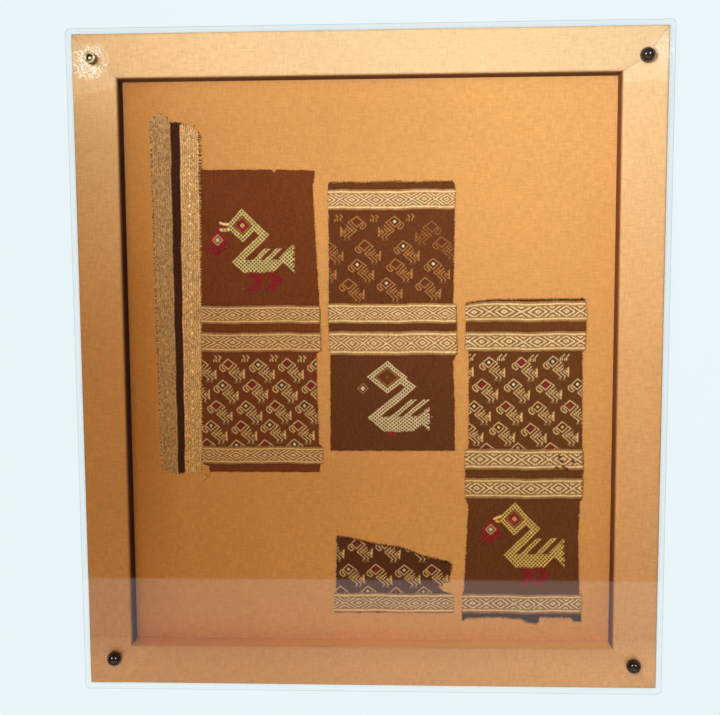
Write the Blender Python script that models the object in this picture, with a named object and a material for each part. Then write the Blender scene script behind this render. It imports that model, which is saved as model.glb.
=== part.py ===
"""Framed textile panel: five woven fragments mounted under a clear box cover.

The panel lies on its back. +X runs to the viewer's right, +Y to its top edge
and +Z out of its face. The origin is the centre of the face it rests on.
Dimensions are in millimetres and become metres where a mesh is made.
"""
import math
from collections import namedtuple

import bmesh
import bpy
import numpy as np

MM = 0.001

# Driving dimensions
GAP = 0.3
CLOTH = 1.0
FRAME_WIDTH = 500.0
FRAME_HEIGHT = 566.0
BOARD_DEPTH = 6.0
RAIL_DEPTH = 17.2
RAIL_EDGE_RADIUS = 2.0
ROUND_STEPS = 4
MITRE_TRIM = 0.22
FOLD_RISE = 0.5
FOLD_SLOPE = 1.2
COVER_SHEET = 3.0
COVER_CLEARANCE = 0.5
SCREW_RADIUS = 2.2
SCREW_CLEARANCE = 0.4
CAP_DIAMETER = 12.7
CAP_HEIGHT = 7.0
CAP_RIM = 1.2
COLLAR_DIAMETER = 9.4
COLLAR_HEIGHT = 4.8
RING_HEIGHT = 1.3
BORE_RADIUS = 2.7
FRAY_STEP = 5.0
SMOOTH_ANGLE = math.radians(40)

# Heights of the layers above the resting face
CLOTH_BASE = BOARD_DEPTH + GAP
CLOTH_TOP = CLOTH_BASE + CLOTH
LAYER_BASE = CLOTH_TOP + GAP
RAIL_TOP = LAYER_BASE + RAIL_DEPTH
COVER_BASE = RAIL_TOP + FOLD_RISE + GAP
COVER_TOP = COVER_BASE + COVER_SHEET
FITTING_BASE = COVER_TOP + GAP
COVER_HALF_WIDTH = FRAME_WIDTH / 2 + COVER_CLEARANCE + COVER_SHEET
COVER_HALF_HEIGHT = FRAME_HEIGHT / 2 + COVER_CLEARANCE + COVER_SHEET

# Side signs locate each outer corner, and the screw stands near its mitre
Corner = namedtuple("Corner", "side_x side_y screw_x screw_y capped")
CORNERS = {
    "top_left": Corner(-1, 1, -231.5, 261.0, False),
    "top_right": Corner(1, 1, 230.5, 257.5, True),
    "bottom_right": Corner(1, -1, 229.0, -260.5, True),
    "bottom_left": Corner(-1, -1, -226.5, -258.5, True),
}

# Each fold gives its distance from the end at the rail's outer and inner edge
Fold = namedtuple("Fold", "outer inner")
Rail = namedtuple("Rail", "start end width along inward start_fold end_fold")
RAILS = {
    "rail_top": Rail("top_left", "top_right", 37.0, (1, 0), (0, -1), None, None),
    "rail_right": Rail("top_right", "bottom_right", 38.0, (0, -1), (-1, 0), Fold(45.0, 46.0), Fold(43.5, 43.5)),
    "rail_bottom": Rail("bottom_right", "bottom_left", 35.0, (-1, 0), (0, 1), None, Fold(28.5, 60.5)),
    "rail_left": Rail("bottom_left", "top_left", 38.0, (0, 1), (1, 0), Fold(43.5, 43.5), Fold(52.0, 45.5)),
}

# Corners of each cloth piece in order, and the fray of the edge that follows
EdgePoint = namedtuple("EdgePoint", "x y fray")
STRIP_A = [
    EdgePoint(-187.8, 214.8, 0.6),
    EdgePoint(-182.8, 217.5, 0.5),
    EdgePoint(-171.5, 212.5, 0.5),
    EdgePoint(-161.9, 210.5, 0.6),
    EdgePoint(-147.0, 204.0, 0.8),
    EdgePoint(-146.3, 171.5, 0.0),
    EdgePoint(-146.3, 151.8, 0.0),
    EdgePoint(-147.6, 58.0, 0.0),
    EdgePoint(-149.5, -89.4, 0.5),
    EdgePoint(-150.0, -96.0, 0.5),
    EdgePoint(-181.5, -96.2, 0.0),
    EdgePoint(-184.3, -94.2, 0.0),
    EdgePoint(-185.3, -90.5, 0.5),
    EdgePoint(-187.0, 49.6, 0.5),
]
PANEL_B = [
    EdgePoint(-145.9, 170.6, 0.3),
    EdgePoint(-83.0, 170.4, 0.0),
    EdgePoint(-81.5, 167.6, 0.0),
    EdgePoint(-80.2, 170.3, 0.3),
    EdgePoint(-46.2, 169.2, 0.3),
    EdgePoint(-48.3, 153.8, 0.4),
    EdgePoint(-45.7, 99.5, 0.4),
    EdgePoint(-43.4, 53.4, 0.3),
    EdgePoint(-42.5, 12.6, 0.0),
    EdgePoint(-46.4, 10.5, 0.4),
    EdgePoint(-45.8, -30.3, 0.4),
    EdgePoint(-44.4, -70.5, 0.0),
    EdgePoint(-41.7, -72.2, 0.3),
    EdgePoint(-42.2, -94.8, 0.4),
    EdgePoint(-140.8, -94.8, 0.0),
    EdgePoint(-143.4, -88.4, 0.0),
    EdgePoint(-149.1, -87.6, 0.0),
    EdgePoint(-147.2, 58.0, 0.0),
    EdgePoint(-145.9, 151.8, 0.0),
]
PANEL_C = [
    EdgePoint(-34.6, 156.6, 0.9),
    EdgePoint(73.8, 156.4, 0.5),
    EdgePoint(75.1, 151.8, 0.3),
    EdgePoint(74.3, 134.6, 0.4),
    EdgePoint(73.2, 54.4, 0.0),
    EdgePoint(75.8, 53.0, 0.4),
    EdgePoint(76.7, 11.0, 0.0),
    EdgePoint(73.2, 3.0, 0.4),
    EdgePoint(74.6, -30.4, 0.4),
    EdgePoint(75.0, -75.2, 0.4),
    EdgePoint(-34.4, -75.5, 0.4),
    EdgePoint(-33.8, 5.0, 0.3),
    EdgePoint(-35.1, 36.5, 0.3),
    EdgePoint(-34.5, 95.0, 0.4),
]
PANEL_D = [
    EdgePoint(84.6, 54.0, 0.4),
    EdgePoint(106.3, 56.9, 0.4),
    EdgePoint(187.0, 57.3, 0.4),
    EdgePoint(188.7, 46.0, 0.4),
    EdgePoint(187.9, 12.8, 0.0),
    EdgePoint(185.0, 11.8, 0.4),
    EdgePoint(186.1, -73.6, 0.3),
    EdgePoint(187.4, -92.3, 0.4),
    EdgePoint(186.8, -118.5, 0.0),
    EdgePoint(184.6, -121.0, 0.4),
    EdgePoint(183.7, -155.0, 0.4),
    EdgePoint(185.4, -203.7, 0.0),
    EdgePoint(187.3, -205.0, 0.4),
    EdgePoint(187.6, -229.0, 0.3),
    EdgePoint(181.2, -229.4, 0.0),
    EdgePoint(180.0, -223.4, 0.4),
    EdgePoint(150.8, -223.6, 0.3),
    EdgePoint(149.6, -229.6, 0.5),
    EdgePoint(82.4, -230.1, 0.4),
    EdgePoint(82.3, -205.2, 0.0),
    EdgePoint(83.9, -201.0, 0.4),
    EdgePoint(87.6, -124.0, 0.0),
    EdgePoint(84.6, -118.8, 0.4),
    EdgePoint(84.4, -74.6, 0.0),
    EdgePoint(87.5, -73.4, 0.4),
    EdgePoint(87.2, 12.2, 0.0),
    EdgePoint(83.9, 13.2, 0.4),
]
FRAGMENT_E = [
    EdgePoint(-30.2, -153.2, 0.6),
    EdgePoint(-13.7, -155.8, 0.6),
    EdgePoint(4.5, -160.2, 0.6),
    EdgePoint(27.6, -163.3, 0.6),
    EdgePoint(49.8, -171.7, 0.6),
    EdgePoint(72.6, -176.9, 0.5),
    EdgePoint(71.2, -185.4, 0.4),
    EdgePoint(70.9, -192.7, 0.0),
    EdgePoint(64.2, -198.5, 0.3),
    EdgePoint(72.1, -204.2, 0.0),
    EdgePoint(74.6, -205.4, 0.3),
    EdgePoint(74.4, -221.9, 0.4),
    EdgePoint(20.0, -222.4, 0.4),
    EdgePoint(-32.6, -222.6, 0.3),
    EdgePoint(-32.4, -205.4, 0.0),
    EdgePoint(-30.8, -203.8, 0.4),
]
CLOTH_PIECES = {
    "strip_a": (STRIP_A, (0.66, 0.45, 0.21)),
    "panel_b": (PANEL_B, (0.13, 0.040, 0.020)),
    "panel_c": (PANEL_C, (0.13, 0.042, 0.020)),
    "panel_d": (PANEL_D, (0.14, 0.040, 0.022)),
    "fragment_e": (FRAGMENT_E, (0.15, 0.045, 0.022)),
}

# Colours of the other pieces
WOOD = (0.55, 0.38, 0.22)
OCHRE = (0.74, 0.33, 0.11)
CLEAR = (0.92, 0.95, 0.96)
BRASS = (0.78, 0.56, 0.24)
DARK_BROWN = (0.030, 0.014, 0.010)
BLACK = (0.012, 0.011, 0.010)


def paint(piece, colour, roughness=0.85, metallic=0.0, alpha=1.0):
    """Give a piece a Principled material of its own."""
    material = bpy.data.materials.new(piece.name)
    material.use_nodes = True
    shader = material.node_tree.nodes["Principled BSDF"]
    shader.inputs["Base Color"].default_value = (*colour, 1.0)
    shader.inputs["Roughness"].default_value = roughness
    shader.inputs["Metallic"].default_value = metallic
    shader.inputs["Alpha"].default_value = alpha
    piece.data.materials.append(material)


def add_object(name, vertices, faces, smooth=False):
    """Make one closed mesh object from millimetre points."""
    mesh = bpy.data.meshes.new(name)
    scaled = [tuple(MM * value for value in vertex) for vertex in vertices]
    mesh.from_pydata(scaled, [], faces)
    shell = bmesh.new()
    shell.from_mesh(mesh)
    bmesh.ops.recalc_face_normals(shell, faces=shell.faces)
    shell.to_mesh(mesh)
    shell.free()
    if smooth:
        mesh.shade_smooth()
        mesh.set_sharp_from_angle(angle=SMOOTH_ANGLE)
    piece = bpy.data.objects.new(name, mesh)
    bpy.context.collection.objects.link(piece)
    return piece


def extrude_outline(name, outline, base, top):
    """Raise a flat outline into a plate between two heights."""
    count = len(outline)
    vertices = [(x, y, base) for x, y in outline]
    vertices += [(x, y, top) for x, y in outline]
    faces = [tuple(range(count)), tuple(range(count, 2 * count))]
    for index in range(count):
        following = (index + 1) % count
        faces.append((index, following, count + following, count + index))
    return add_object(name, vertices, faces)


def revolve(name, profile, centre, segments):
    """Turn a profile of (radius, height) about a vertical axis.

    A profile that starts and ends on the axis makes a solid of revolution,
    and any other closes on itself as a ring.
    """
    centre_x, centre_y = centre
    vertices = []
    rings = []
    for radius, height in profile:
        if radius == 0.0:
            rings.append([len(vertices)] * segments)
            vertices.append((centre_x, centre_y, height))
            continue
        rings.append(list(range(len(vertices), len(vertices) + segments)))
        for step in range(segments):
            angle = 2 * math.pi * step / segments
            vertices.append((centre_x + radius * math.cos(angle), centre_y + radius * math.sin(angle), height))
    closed = profile[0][0] != 0.0
    pairs = list(zip(rings, rings[1:]))
    if closed:
        pairs.append((rings[-1], rings[0]))
    faces = []
    for lower, upper in pairs:
        for step in range(segments):
            following = (step + 1) % segments
            corners = [lower[step], lower[following], upper[following], upper[step]]
            faces.append(tuple(dict.fromkeys(corners)))
    return add_object(name, vertices, faces, smooth=True)


def rounded_corner(centre, radius, start_angle):
    """Points of a quarter circle about a centre."""
    angles = [start_angle + step * math.pi / 2 / ROUND_STEPS for step in range(ROUND_STEPS + 1)]
    return [(centre[0] + radius * math.cos(angle), centre[1] + radius * math.sin(angle)) for angle in angles]


def make_board():
    """The plain board lies inside the ground cloth's turned-down edge."""
    half_width = FRAME_WIDTH / 2 - CLOTH - GAP
    half_height = FRAME_HEIGHT / 2 - CLOTH - GAP
    outline = [
        (-half_width, -half_height),
        (half_width, -half_height),
        (half_width, half_height),
        (-half_width, half_height),
    ]
    board = extrude_outline("backing_board", outline, 0.0, BOARD_DEPTH)
    paint(board, WOOD)


def make_ground_cloth():
    """The ground cloth covers the board and turns down over its four edges."""
    hem_base = 2 * GAP
    sections = [
        (0.0, CLOTH_BASE),
        (0.0, hem_base),
        (CLOTH, hem_base),
        (CLOTH, CLOTH_TOP),
    ]
    vertices = []
    for offset, height in sections:
        half_width = FRAME_WIDTH / 2 - CLOTH + offset
        half_height = FRAME_HEIGHT / 2 - CLOTH + offset
        for side_x, side_y in ((-1, -1), (1, -1), (1, 1), (-1, 1)):
            vertices.append((side_x * half_width, side_y * half_height, height))
    faces = [(0, 1, 2, 3), (12, 13, 14, 15)]
    for level in range(3):
        for corner in range(4):
            following = (corner + 1) % 4
            lower = 4 * level
            faces.append((lower + corner, lower + following, lower + 4 + following, lower + 4 + corner))
    cloth = add_object("ground_cloth", vertices, faces)
    paint(cloth, OCHRE, roughness=0.9)


def make_screw_clearance(corner_name):
    """A hidden cutter opens the round hole that a screw passes through."""
    corner = CORNERS[corner_name]
    radius = SCREW_RADIUS + SCREW_CLEARANCE
    base = LAYER_BASE + GAP
    profile = [(0.0, base), (radius, base), (radius, FITTING_BASE + 1.0), (0.0, FITTING_BASE + 1.0)]
    cutter = revolve("clearance_" + corner_name, profile, (corner.screw_x, corner.screw_y), 16)
    cutter.hide_render = True
    cutter.display_type = "WIRE"
    return cutter


def cut_hole(piece, cutter):
    """Take a cutter away from a piece."""
    modifier = piece.modifiers.new(cutter.name, "BOOLEAN")
    modifier.operation = "DIFFERENCE"
    modifier.solver = "EXACT"
    modifier.object = cutter


def outer_point(corner_name):
    """The outer corner where two rails meet."""
    corner = CORNERS[corner_name]
    return np.array([corner.side_x * FRAME_WIDTH / 2, corner.side_y * FRAME_HEIGHT / 2])


def mitre_run(rail, corner_name, away):
    """How far a rail's end is cut back, as a function of distance inward.

    The cut runs from the outer corner through the screw to the inner corner.
    """
    corner = CORNERS[corner_name]
    neighbour = next(other for other in RAILS.values() if corner_name in (other.start, other.end) and other != rail)
    to_screw = np.array([corner.screw_x, corner.screw_y]) - outer_point(corner_name)
    inward_stops = [0.0, float(to_screw @ np.array(rail.inward)), rail.width]
    cut_stops = [0.0, float(to_screw @ away), neighbour.width]
    return inward_stops, cut_stops


def make_rail(name, rail, cutters):
    """One cloth-wrapped rail, with its long edges rounded and its cloth folded at the ends."""
    along = np.array(rail.along, float)
    inward = np.array(rail.inward, float)
    start = outer_point(rail.start)
    length = float((outer_point(rail.end) - start) @ along)
    start_stops = mitre_run(rail, rail.start, along)
    end_stops = mitre_run(rail, rail.end, -along)
    radius = RAIL_EDGE_RADIUS
    angles = [step * math.pi / 2 / ROUND_STEPS for step in range(ROUND_STEPS + 1)]
    edge_steps = [radius * (1 - math.cos(angle)) for angle in angles]
    depths = edge_steps + [rail.width - step for step in edge_steps]
    depths = sorted(set(depths + [start_stops[0][1], end_stops[0][1]]))

    def crown(depth):
        near_edge = min(depth, rail.width - depth)
        if near_edge >= radius:
            return RAIL_TOP
        return RAIL_TOP - radius + math.sqrt(radius ** 2 - (radius - near_edge) ** 2)

    def fold_at(fold, depth):
        return fold.outer + (fold.inner - fold.outer) * depth / rail.width

    vertices = []
    base_starts = []
    base_ends = []
    crown_rows = []
    for depth in depths:
        first = float(np.interp(depth, *start_stops)) + MITRE_TRIM
        last = length - float(np.interp(depth, *end_stops)) - MITRE_TRIM
        stations = [(first, FOLD_RISE if rail.start_fold else 0.0)]
        if rail.start_fold:
            crease = fold_at(rail.start_fold, depth)
            stations += [(crease, FOLD_RISE), (crease + FOLD_SLOPE, 0.0)]
        if rail.end_fold:
            crease = length - fold_at(rail.end_fold, depth)
            stations += [(crease - FOLD_SLOPE, 0.0), (crease, FOLD_RISE)]
        stations.append((last, FOLD_RISE if rail.end_fold else 0.0))
        row = []
        for run, rise in stations:
            point = start + along * run + inward * depth
            row.append(len(vertices))
            vertices.append((point[0], point[1], crown(depth) + rise))
        crown_rows.append(row)
        for run, target in ((first, base_starts), (last, base_ends)):
            point = start + along * run + inward * depth
            target.append(len(vertices))
            vertices.append((point[0], point[1], LAYER_BASE))

    faces = [tuple(base_starts + base_ends[::-1])]
    for index in range(len(depths) - 1):
        this_row = crown_rows[index]
        next_row = crown_rows[index + 1]
        for station in range(len(this_row) - 1):
            faces.append((this_row[station], this_row[station + 1], next_row[station + 1], next_row[station]))
        faces.append((base_starts[index], this_row[0], next_row[0], base_starts[index + 1]))
        faces.append((base_ends[index], base_ends[index + 1], next_row[-1], this_row[-1]))
    for index in (0, -1):
        faces.append(tuple([base_starts[index]] + crown_rows[index] + [base_ends[index]]))
    piece = add_object(name, vertices, faces, smooth=True)
    cut_hole(piece, cutters[rail.start])
    cut_hole(piece, cutters[rail.end])
    paint(piece, OCHRE, roughness=0.9)


def make_cover(cutters):
    """The clear box: a front sheet on four side strips that surround the rails."""
    radius = COVER_SHEET
    inner_x = COVER_HALF_WIDTH - radius
    inner_y = COVER_HALF_HEIGHT - radius
    outline = []
    outline += rounded_corner((inner_x, inner_y), radius, 0.0)
    outline += rounded_corner((-inner_x, inner_y), radius, math.pi / 2)
    outline += rounded_corner((-inner_x, -inner_y), radius, math.pi)
    outline += rounded_corner((inner_x, -inner_y), radius, 1.5 * math.pi)
    front = extrude_outline("cover_front", outline, COVER_BASE, COVER_TOP)
    for cutter in cutters.values():
        cut_hole(front, cutter)
    paint(front, CLEAR, roughness=0.05, alpha=0.15)

    strip_top = COVER_BASE - GAP
    for name, side in (("cover_left", -1), ("cover_right", 1)):
        quarter = rounded_corner((inner_x, inner_y), radius, 0.0)
        upper = [(side * x, y) for x, y in quarter]
        lower = [(side * x, -y) for x, y in reversed(quarter)]
        strip = extrude_outline(name, upper + lower, 0.0, strip_top)
        paint(strip, CLEAR, roughness=0.05, alpha=0.15)
    for name, side in (("cover_top", 1), ("cover_bottom", -1)):
        reach = inner_x - GAP
        strip_outline = [
            (-reach, side * inner_y),
            (reach, side * inner_y),
            (reach, side * COVER_HALF_HEIGHT),
            (-reach, side * COVER_HALF_HEIGHT),
        ]
        strip = extrude_outline(name, strip_outline, 0.0, strip_top)
        paint(strip, CLEAR, roughness=0.05, alpha=0.15)


def make_screw(corner_name):
    """A brass screw runs through the cover into the mitred corner."""
    corner = CORNERS[corner_name]
    tip = LAYER_BASE + 2 * GAP
    top = FITTING_BASE + COLLAR_HEIGHT - 0.8
    profile = [
        (0.0, tip),
        (0.6 * SCREW_RADIUS, tip + 0.8),
        (SCREW_RADIUS, tip + 3.0),
        (SCREW_RADIUS, top - 0.8),
        (0.7 * SCREW_RADIUS, top - 0.2),
        (0.0, top),
    ]
    screw = revolve("screw_" + corner_name, profile, (corner.screw_x, corner.screw_y), 12)
    paint(screw, BRASS, roughness=0.3, metallic=1.0)


def make_cap(corner_name):
    """A dark domed cap with a blind bore stands over the screw."""
    corner = CORNERS[corner_name]
    radius = CAP_DIAMETER / 2
    dome_base = FITTING_BASE + CAP_RIM
    dome_height = CAP_HEIGHT - CAP_RIM
    bore_top = FITTING_BASE + COLLAR_HEIGHT
    profile = [(0.0, bore_top), (BORE_RADIUS, bore_top), (BORE_RADIUS, FITTING_BASE)]
    profile.append((radius, FITTING_BASE))
    dome_steps = 6
    for step in range(dome_steps + 1):
        angle = step * math.pi / 2 / dome_steps
        reach = 0.0 if step == dome_steps else radius * math.cos(angle)
        profile.append((reach, dome_base + dome_height * math.sin(angle)))
    cap = revolve("cap_" + corner_name, profile, (corner.screw_x, corner.screw_y), 24)
    paint(cap, DARK_BROWN, roughness=0.15)


def make_open_fitting(corner_name):
    """The corner without a cap shows a black collar with a brass ring on it."""
    corner = CORNERS[corner_name]
    centre = (corner.screw_x, corner.screw_y)
    radius = COLLAR_DIAMETER / 2
    collar_top = FITTING_BASE + COLLAR_HEIGHT
    collar_profile = [
        (BORE_RADIUS, FITTING_BASE),
        (radius, FITTING_BASE),
        (radius, collar_top),
        (BORE_RADIUS, collar_top),
    ]
    collar = revolve("collar_" + corner_name, collar_profile, centre, 20)
    paint(collar, BLACK, roughness=0.3)
    ring_base = collar_top + GAP
    ring_top = ring_base + RING_HEIGHT
    ring_profile = [
        (BORE_RADIUS, ring_base),
        (radius, ring_base),
        (radius, ring_top - 0.5),
        (radius - 0.5, ring_top),
        (BORE_RADIUS + 0.4, ring_top),
        (BORE_RADIUS, ring_top - 0.4),
    ]
    ring = revolve("ring_" + corner_name, ring_profile, centre, 20)
    paint(ring, BRASS, roughness=0.3, metallic=1.0)


def frayed_outline(table):
    """Add the small waver of a worn edge between the corners of a cloth piece."""
    outline = []
    for index, corner in enumerate(table):
        following = table[(index + 1) % len(table)]
        start = np.array([corner.x, corner.y])
        run = np.array([following.x, following.y]) - start
        length = float(np.hypot(*run))
        outward = np.array([-run[1], run[0]]) / length
        steps = max(1, round(length / FRAY_STEP)) if corner.fray else 1
        for step in range(steps):
            travel = length * step / steps
            waver = 0.6 * math.sin(0.55 * travel + index) + 0.4 * math.sin(1.31 * travel + 2.0 * index)
            envelope = math.sin(math.pi * step / steps) ** 0.5
            point = start + run * step / steps + outward * corner.fray * envelope * waver
            outline.append((float(point[0]), float(point[1])))
    return outline


def make_cloth_pieces():
    """The five woven fragments lie flat on the ground cloth."""
    for name, (table, colour) in CLOTH_PIECES.items():
        piece = extrude_outline(name, frayed_outline(table), LAYER_BASE, LAYER_BASE + CLOTH)
        paint(piece, colour, roughness=0.95)


def build():
    """Clear the scene and model the whole panel."""
    for leftover in list(bpy.data.objects):
        bpy.data.objects.remove(leftover)
    make_board()
    make_ground_cloth()
    cutters = {name: make_screw_clearance(name) for name in CORNERS}
    for name, rail in RAILS.items():
        make_rail(name, rail, cutters)
    make_cover(cutters)
    for name, corner in CORNERS.items():
        make_screw(name)
        if corner.capped:
            make_cap(name)
        else:
            make_open_fitting(name)
    make_cloth_pieces()


build()
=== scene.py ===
# Looks of the framed textile panel: five old woven pieces on ochre cloth, in a cloth-wrapped
# frame under a clear box cover. Places are in millimetres in the frame's axes until MM scales them.

import math
from collections import namedtuple

import bpy
import numpy as np
from mathutils import Matrix, Vector


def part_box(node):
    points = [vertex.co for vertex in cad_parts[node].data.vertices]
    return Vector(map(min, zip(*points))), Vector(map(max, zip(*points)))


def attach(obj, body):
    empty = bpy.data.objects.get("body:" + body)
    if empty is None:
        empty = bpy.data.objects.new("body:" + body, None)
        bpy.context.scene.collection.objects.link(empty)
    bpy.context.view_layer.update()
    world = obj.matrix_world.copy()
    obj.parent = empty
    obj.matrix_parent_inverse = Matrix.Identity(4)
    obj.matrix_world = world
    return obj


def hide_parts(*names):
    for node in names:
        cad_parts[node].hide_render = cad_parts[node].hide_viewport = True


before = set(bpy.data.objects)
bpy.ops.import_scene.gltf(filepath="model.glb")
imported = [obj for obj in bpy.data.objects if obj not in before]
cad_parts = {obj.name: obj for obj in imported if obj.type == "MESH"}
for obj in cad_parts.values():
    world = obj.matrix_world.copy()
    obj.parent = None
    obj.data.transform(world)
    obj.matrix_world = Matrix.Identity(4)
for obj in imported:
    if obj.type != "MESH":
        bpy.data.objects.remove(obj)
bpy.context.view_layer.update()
MM = 0.001
BODY = "root"

# Camera, from the corners of the cover, the rails and the ground cloth
IMAGE_WIDTH = 720
FOCAL_PIXELS = 902.5
SENSOR_WIDTH = 36.0
CAMERA_PLACE = (22.0, 72.6, 796.1)
CAMERA_TILT = (4.758, -2.149, 0.319)

# Cloth surfaces
MESH_X = 0.84
MESH_Y = 0.875
SOFT_EDGE = 0.55
SHADOW = 0.55
WEAVE_RISE = 0.45
# Painted shade on the turned-down cut edges of the woven pieces, as a share of the yarn's colour
SKIRT_SHADE = 0.5
THREAD_RADIUS = 0.17
STRAY_RADIUS = 0.26
RAIL_RADIUS = 2.0
FOLD_RISE = 0.5
BUCKLE = 0.25
CLOTH_FOOT = 0.6

# Clear cover
COVER_GAP = 0.3
COVER_SHEET = 3.0
COVER_CORNER = 4.0
COVER_BEVEL = 0.5
SCREW_HOLE = 2.9
SCUFF_LEFT = (-0.233, 0.259)
SCUFF_RIGHT = (0.243, 0.262)


# Yarn and cloth colours
GROUND_COLOUR = (0.719, 0.340, 0.097)
# The wrap is the same cloth as the ground, painted paler and less saturated: a painted sheen
RAIL_SHEEN_COLOUR = (0.810, 0.464, 0.196)
B_BROWN = (0.189, 0.047, 0.008)
C_BROWN = (0.148, 0.043, 0.0095)
D_BROWN = (0.157, 0.048, 0.008)
E_BROWN = (0.118, 0.034, 0.005)
DARK_BROWN = (0.058, 0.015, 0.004)
CREAM = (1.0, 0.71, 0.34)
PALE_CREAM = (1.0, 0.80, 0.42)
TAN = (0.47, 0.225, 0.062)
LINE_BROWN = (0.27, 0.100, 0.024)
BIRD_TAN = (0.87, 0.55, 0.23)
C_BIRD_TAN = (0.56, 0.24, 0.065)
BIRD_CREAM = (1.0, 0.80, 0.31)
GOLD_CREAM = (1.0, 0.66, 0.17)
RED = (0.38, 0.016, 0.026)
WHITE_YARN = (0.95, 0.82, 0.50)
PLYWOOD = (0.552, 0.342, 0.162)


def node_box(node):
    """Lowest and highest corners of a frame node, in millimetres."""
    low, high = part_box(node)
    return [value / MM for value in low], [value / MM for value in high]


def node_centre(node):
    """Middle of a frame node, seen from above."""
    low, high = node_box(node)
    return (low[0] + high[0]) / 2, (low[1] + high[1]) / 2


GROUND_TOP = node_box("ground_cloth")[1][2]
PIECE_BASE = node_box("panel_b")[0][2]
RAIL_BASE = node_box("rail_top")[0][2]
RAIL_TOP = node_box("cover_front")[0][2] - COVER_GAP - FOLD_RISE
COVER_TOP = node_box("cover_front")[1][2]
OUTER_X, OUTER_Y = node_box("ground_cloth")[1][:2]
CORNERS = ("top_left", "top_right", "bottom_right", "bottom_left")


def add_mesh(name, points, faces, materials, colours=None, smooth=True, picks=None):
    """Make one mesh object from millimetre points, with an optional colour at each point."""
    mesh = bpy.data.meshes.new(name)
    mesh.from_pydata((np.asarray(points, dtype=float) * MM).tolist(), [], faces)
    for material in materials:
        mesh.materials.append(material)
    if colours is not None:
        layer = mesh.color_attributes.new("yarn", "FLOAT_COLOR", "POINT")
        full = np.ones((len(points), 4))
        full[:, :3] = colours
        layer.data.foreach_set("color", full.ravel())
    if picks is not None:
        mesh.polygons.foreach_set("material_index", picks)
    if smooth:
        mesh.shade_smooth()
    piece = bpy.data.objects.new(name, mesh)
    bpy.context.collection.objects.link(piece)
    return piece


def grid_faces(columns, rows):
    """Quads over a grid of points that is filled column by column."""
    starts = [column * rows + row for column in range(columns - 1) for row in range(rows - 1)]
    return [(first, first + rows, first + rows + 1, first + 1) for first in starts]


def circle(centre, radius, height, steps):
    """Points round a level circle."""
    angles = [2 * math.pi * step / steps for step in range(steps)]
    return [(centre[0] + radius * math.cos(a), centre[1] + radius * math.sin(a), height) for a in angles]


def declare(piece, slot, *nodes):
    """Let a piece ride on the body and stand for its frame nodes, which it hides; slot is not used."""
    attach(piece, BODY)
    if nodes:
        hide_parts(*nodes)


def slow_wave(place, seed, length, size):
    """A seeded smooth unevenness along one coordinate."""
    random = np.random.default_rng(seed)
    total = np.zeros_like(np.asarray(place, dtype=float))
    for octave in range(4):
        turns = place * 1.9 ** octave / length + random.random()
        total = total + np.sin(2 * np.pi * turns) * 0.6 ** octave
    return size * total / 1.6


# Materials

class Shading:
    """A material's node tree, with short calls that add and join nodes."""

    def __init__(self, name):
        self.material = bpy.data.materials.new(name)
        self.material.use_nodes = True
        self.tree = self.material.node_tree
        self.shader = self.tree.nodes["Principled BSDF"]
        self.place = self.add("ShaderNodeTexCoord").outputs["Object"]

    def add(self, kind, inputs=None, **settings):
        """A node with its settings, and what its inputs hold by name or number."""
        node = self.tree.nodes.new(kind)
        for key, value in settings.items():
            setattr(node, key, value)
        for key, value in (inputs or {}).items():
            self.feed(node.inputs[key], value)
        return node

    def feed(self, socket, value):
        """Give a socket a number, a colour, a place or the output of another node."""
        if isinstance(value, bpy.types.NodeSocket):
            self.tree.links.new(value, socket)
        else:
            socket.default_value = (*value, 1.0) if socket.type == "RGBA" else value

    def set(self, **values):
        """Feed the Principled shader's inputs."""
        for key, value in values.items():
            self.feed(self.shader.inputs[key.replace("_", " ")], value)

    def noise(self, scale, detail=3.0, place=None, roughness=0.55):
        """Smooth noise from 0 to 1, with scale counted per metre."""
        inputs = {"Scale": scale, "Detail": detail, "Roughness": roughness, "Vector": place or self.place}
        return self.add("ShaderNodeTexNoise", inputs).outputs["Fac"]

    def streaks(self, scale, detail=3.0):
        """Noise with its own scale along each axis."""
        node = self.add("ShaderNodeMapping", {"Vector": self.place, "Scale": scale})
        return self.noise(1.0, detail, node.outputs["Vector"])

    def ribs(self, scale, distortion):
        """Ribs both ways across a weave."""
        inputs = {"Scale": scale, "Distortion": distortion, "Detail": 2.0, "Detail Scale": 60.0,
                  "Vector": self.place}
        both = [self.add("ShaderNodeTexWave", inputs, wave_type="BANDS", bands_direction=axis).outputs["Fac"]
                for axis in ("X", "Y")]
        return self.math("ADD", *both)

    def math(self, operation, first, second):
        """One sum on numbers or outputs."""
        return self.add("ShaderNodeMath", {0: first, 1: second}, operation=operation).outputs[0]

    def product(self, *values):
        total = values[0]
        for value in values[1:]:
            total = self.math("MULTIPLY", total, value)
        return total

    def remap(self, value, low, high, start=0.0, end=1.0):
        """Spread a value that runs from start to end over low to high."""
        inputs = {"Value": value, "From Min": start, "From Max": end, "To Min": low, "To Max": high}
        return self.add("ShaderNodeMapRange", inputs).outputs["Result"]

    def mix(self, share, first, second, blend="MIX"):
        inputs = {"Factor": share, "A": first, "B": second}
        return self.add("ShaderNodeMix", inputs, data_type="RGBA", blend_type=blend).outputs["Result"]

    def scale_colour(self, colour, value):
        """A colour multiplied by a grey value or another colour."""
        return self.mix(1.0, colour, value, blend="MULTIPLY")

    def over(self, share, below, above):
        """One shader over another."""
        return self.add("ShaderNodeMixShader", {0: share, 1: below, 2: above}).outputs["Shader"]

    def bump(self, height, strength, distance):
        node = self.add("ShaderNodeBump", {"Strength": strength, "Distance": distance, "Height": height})
        self.set(Normal=node.outputs["Normal"])


def painted(look):
    """The colour painted at each point of a mesh."""
    return look.add("ShaderNodeVertexColor", layer_name="yarn").outputs["Color"]


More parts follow.
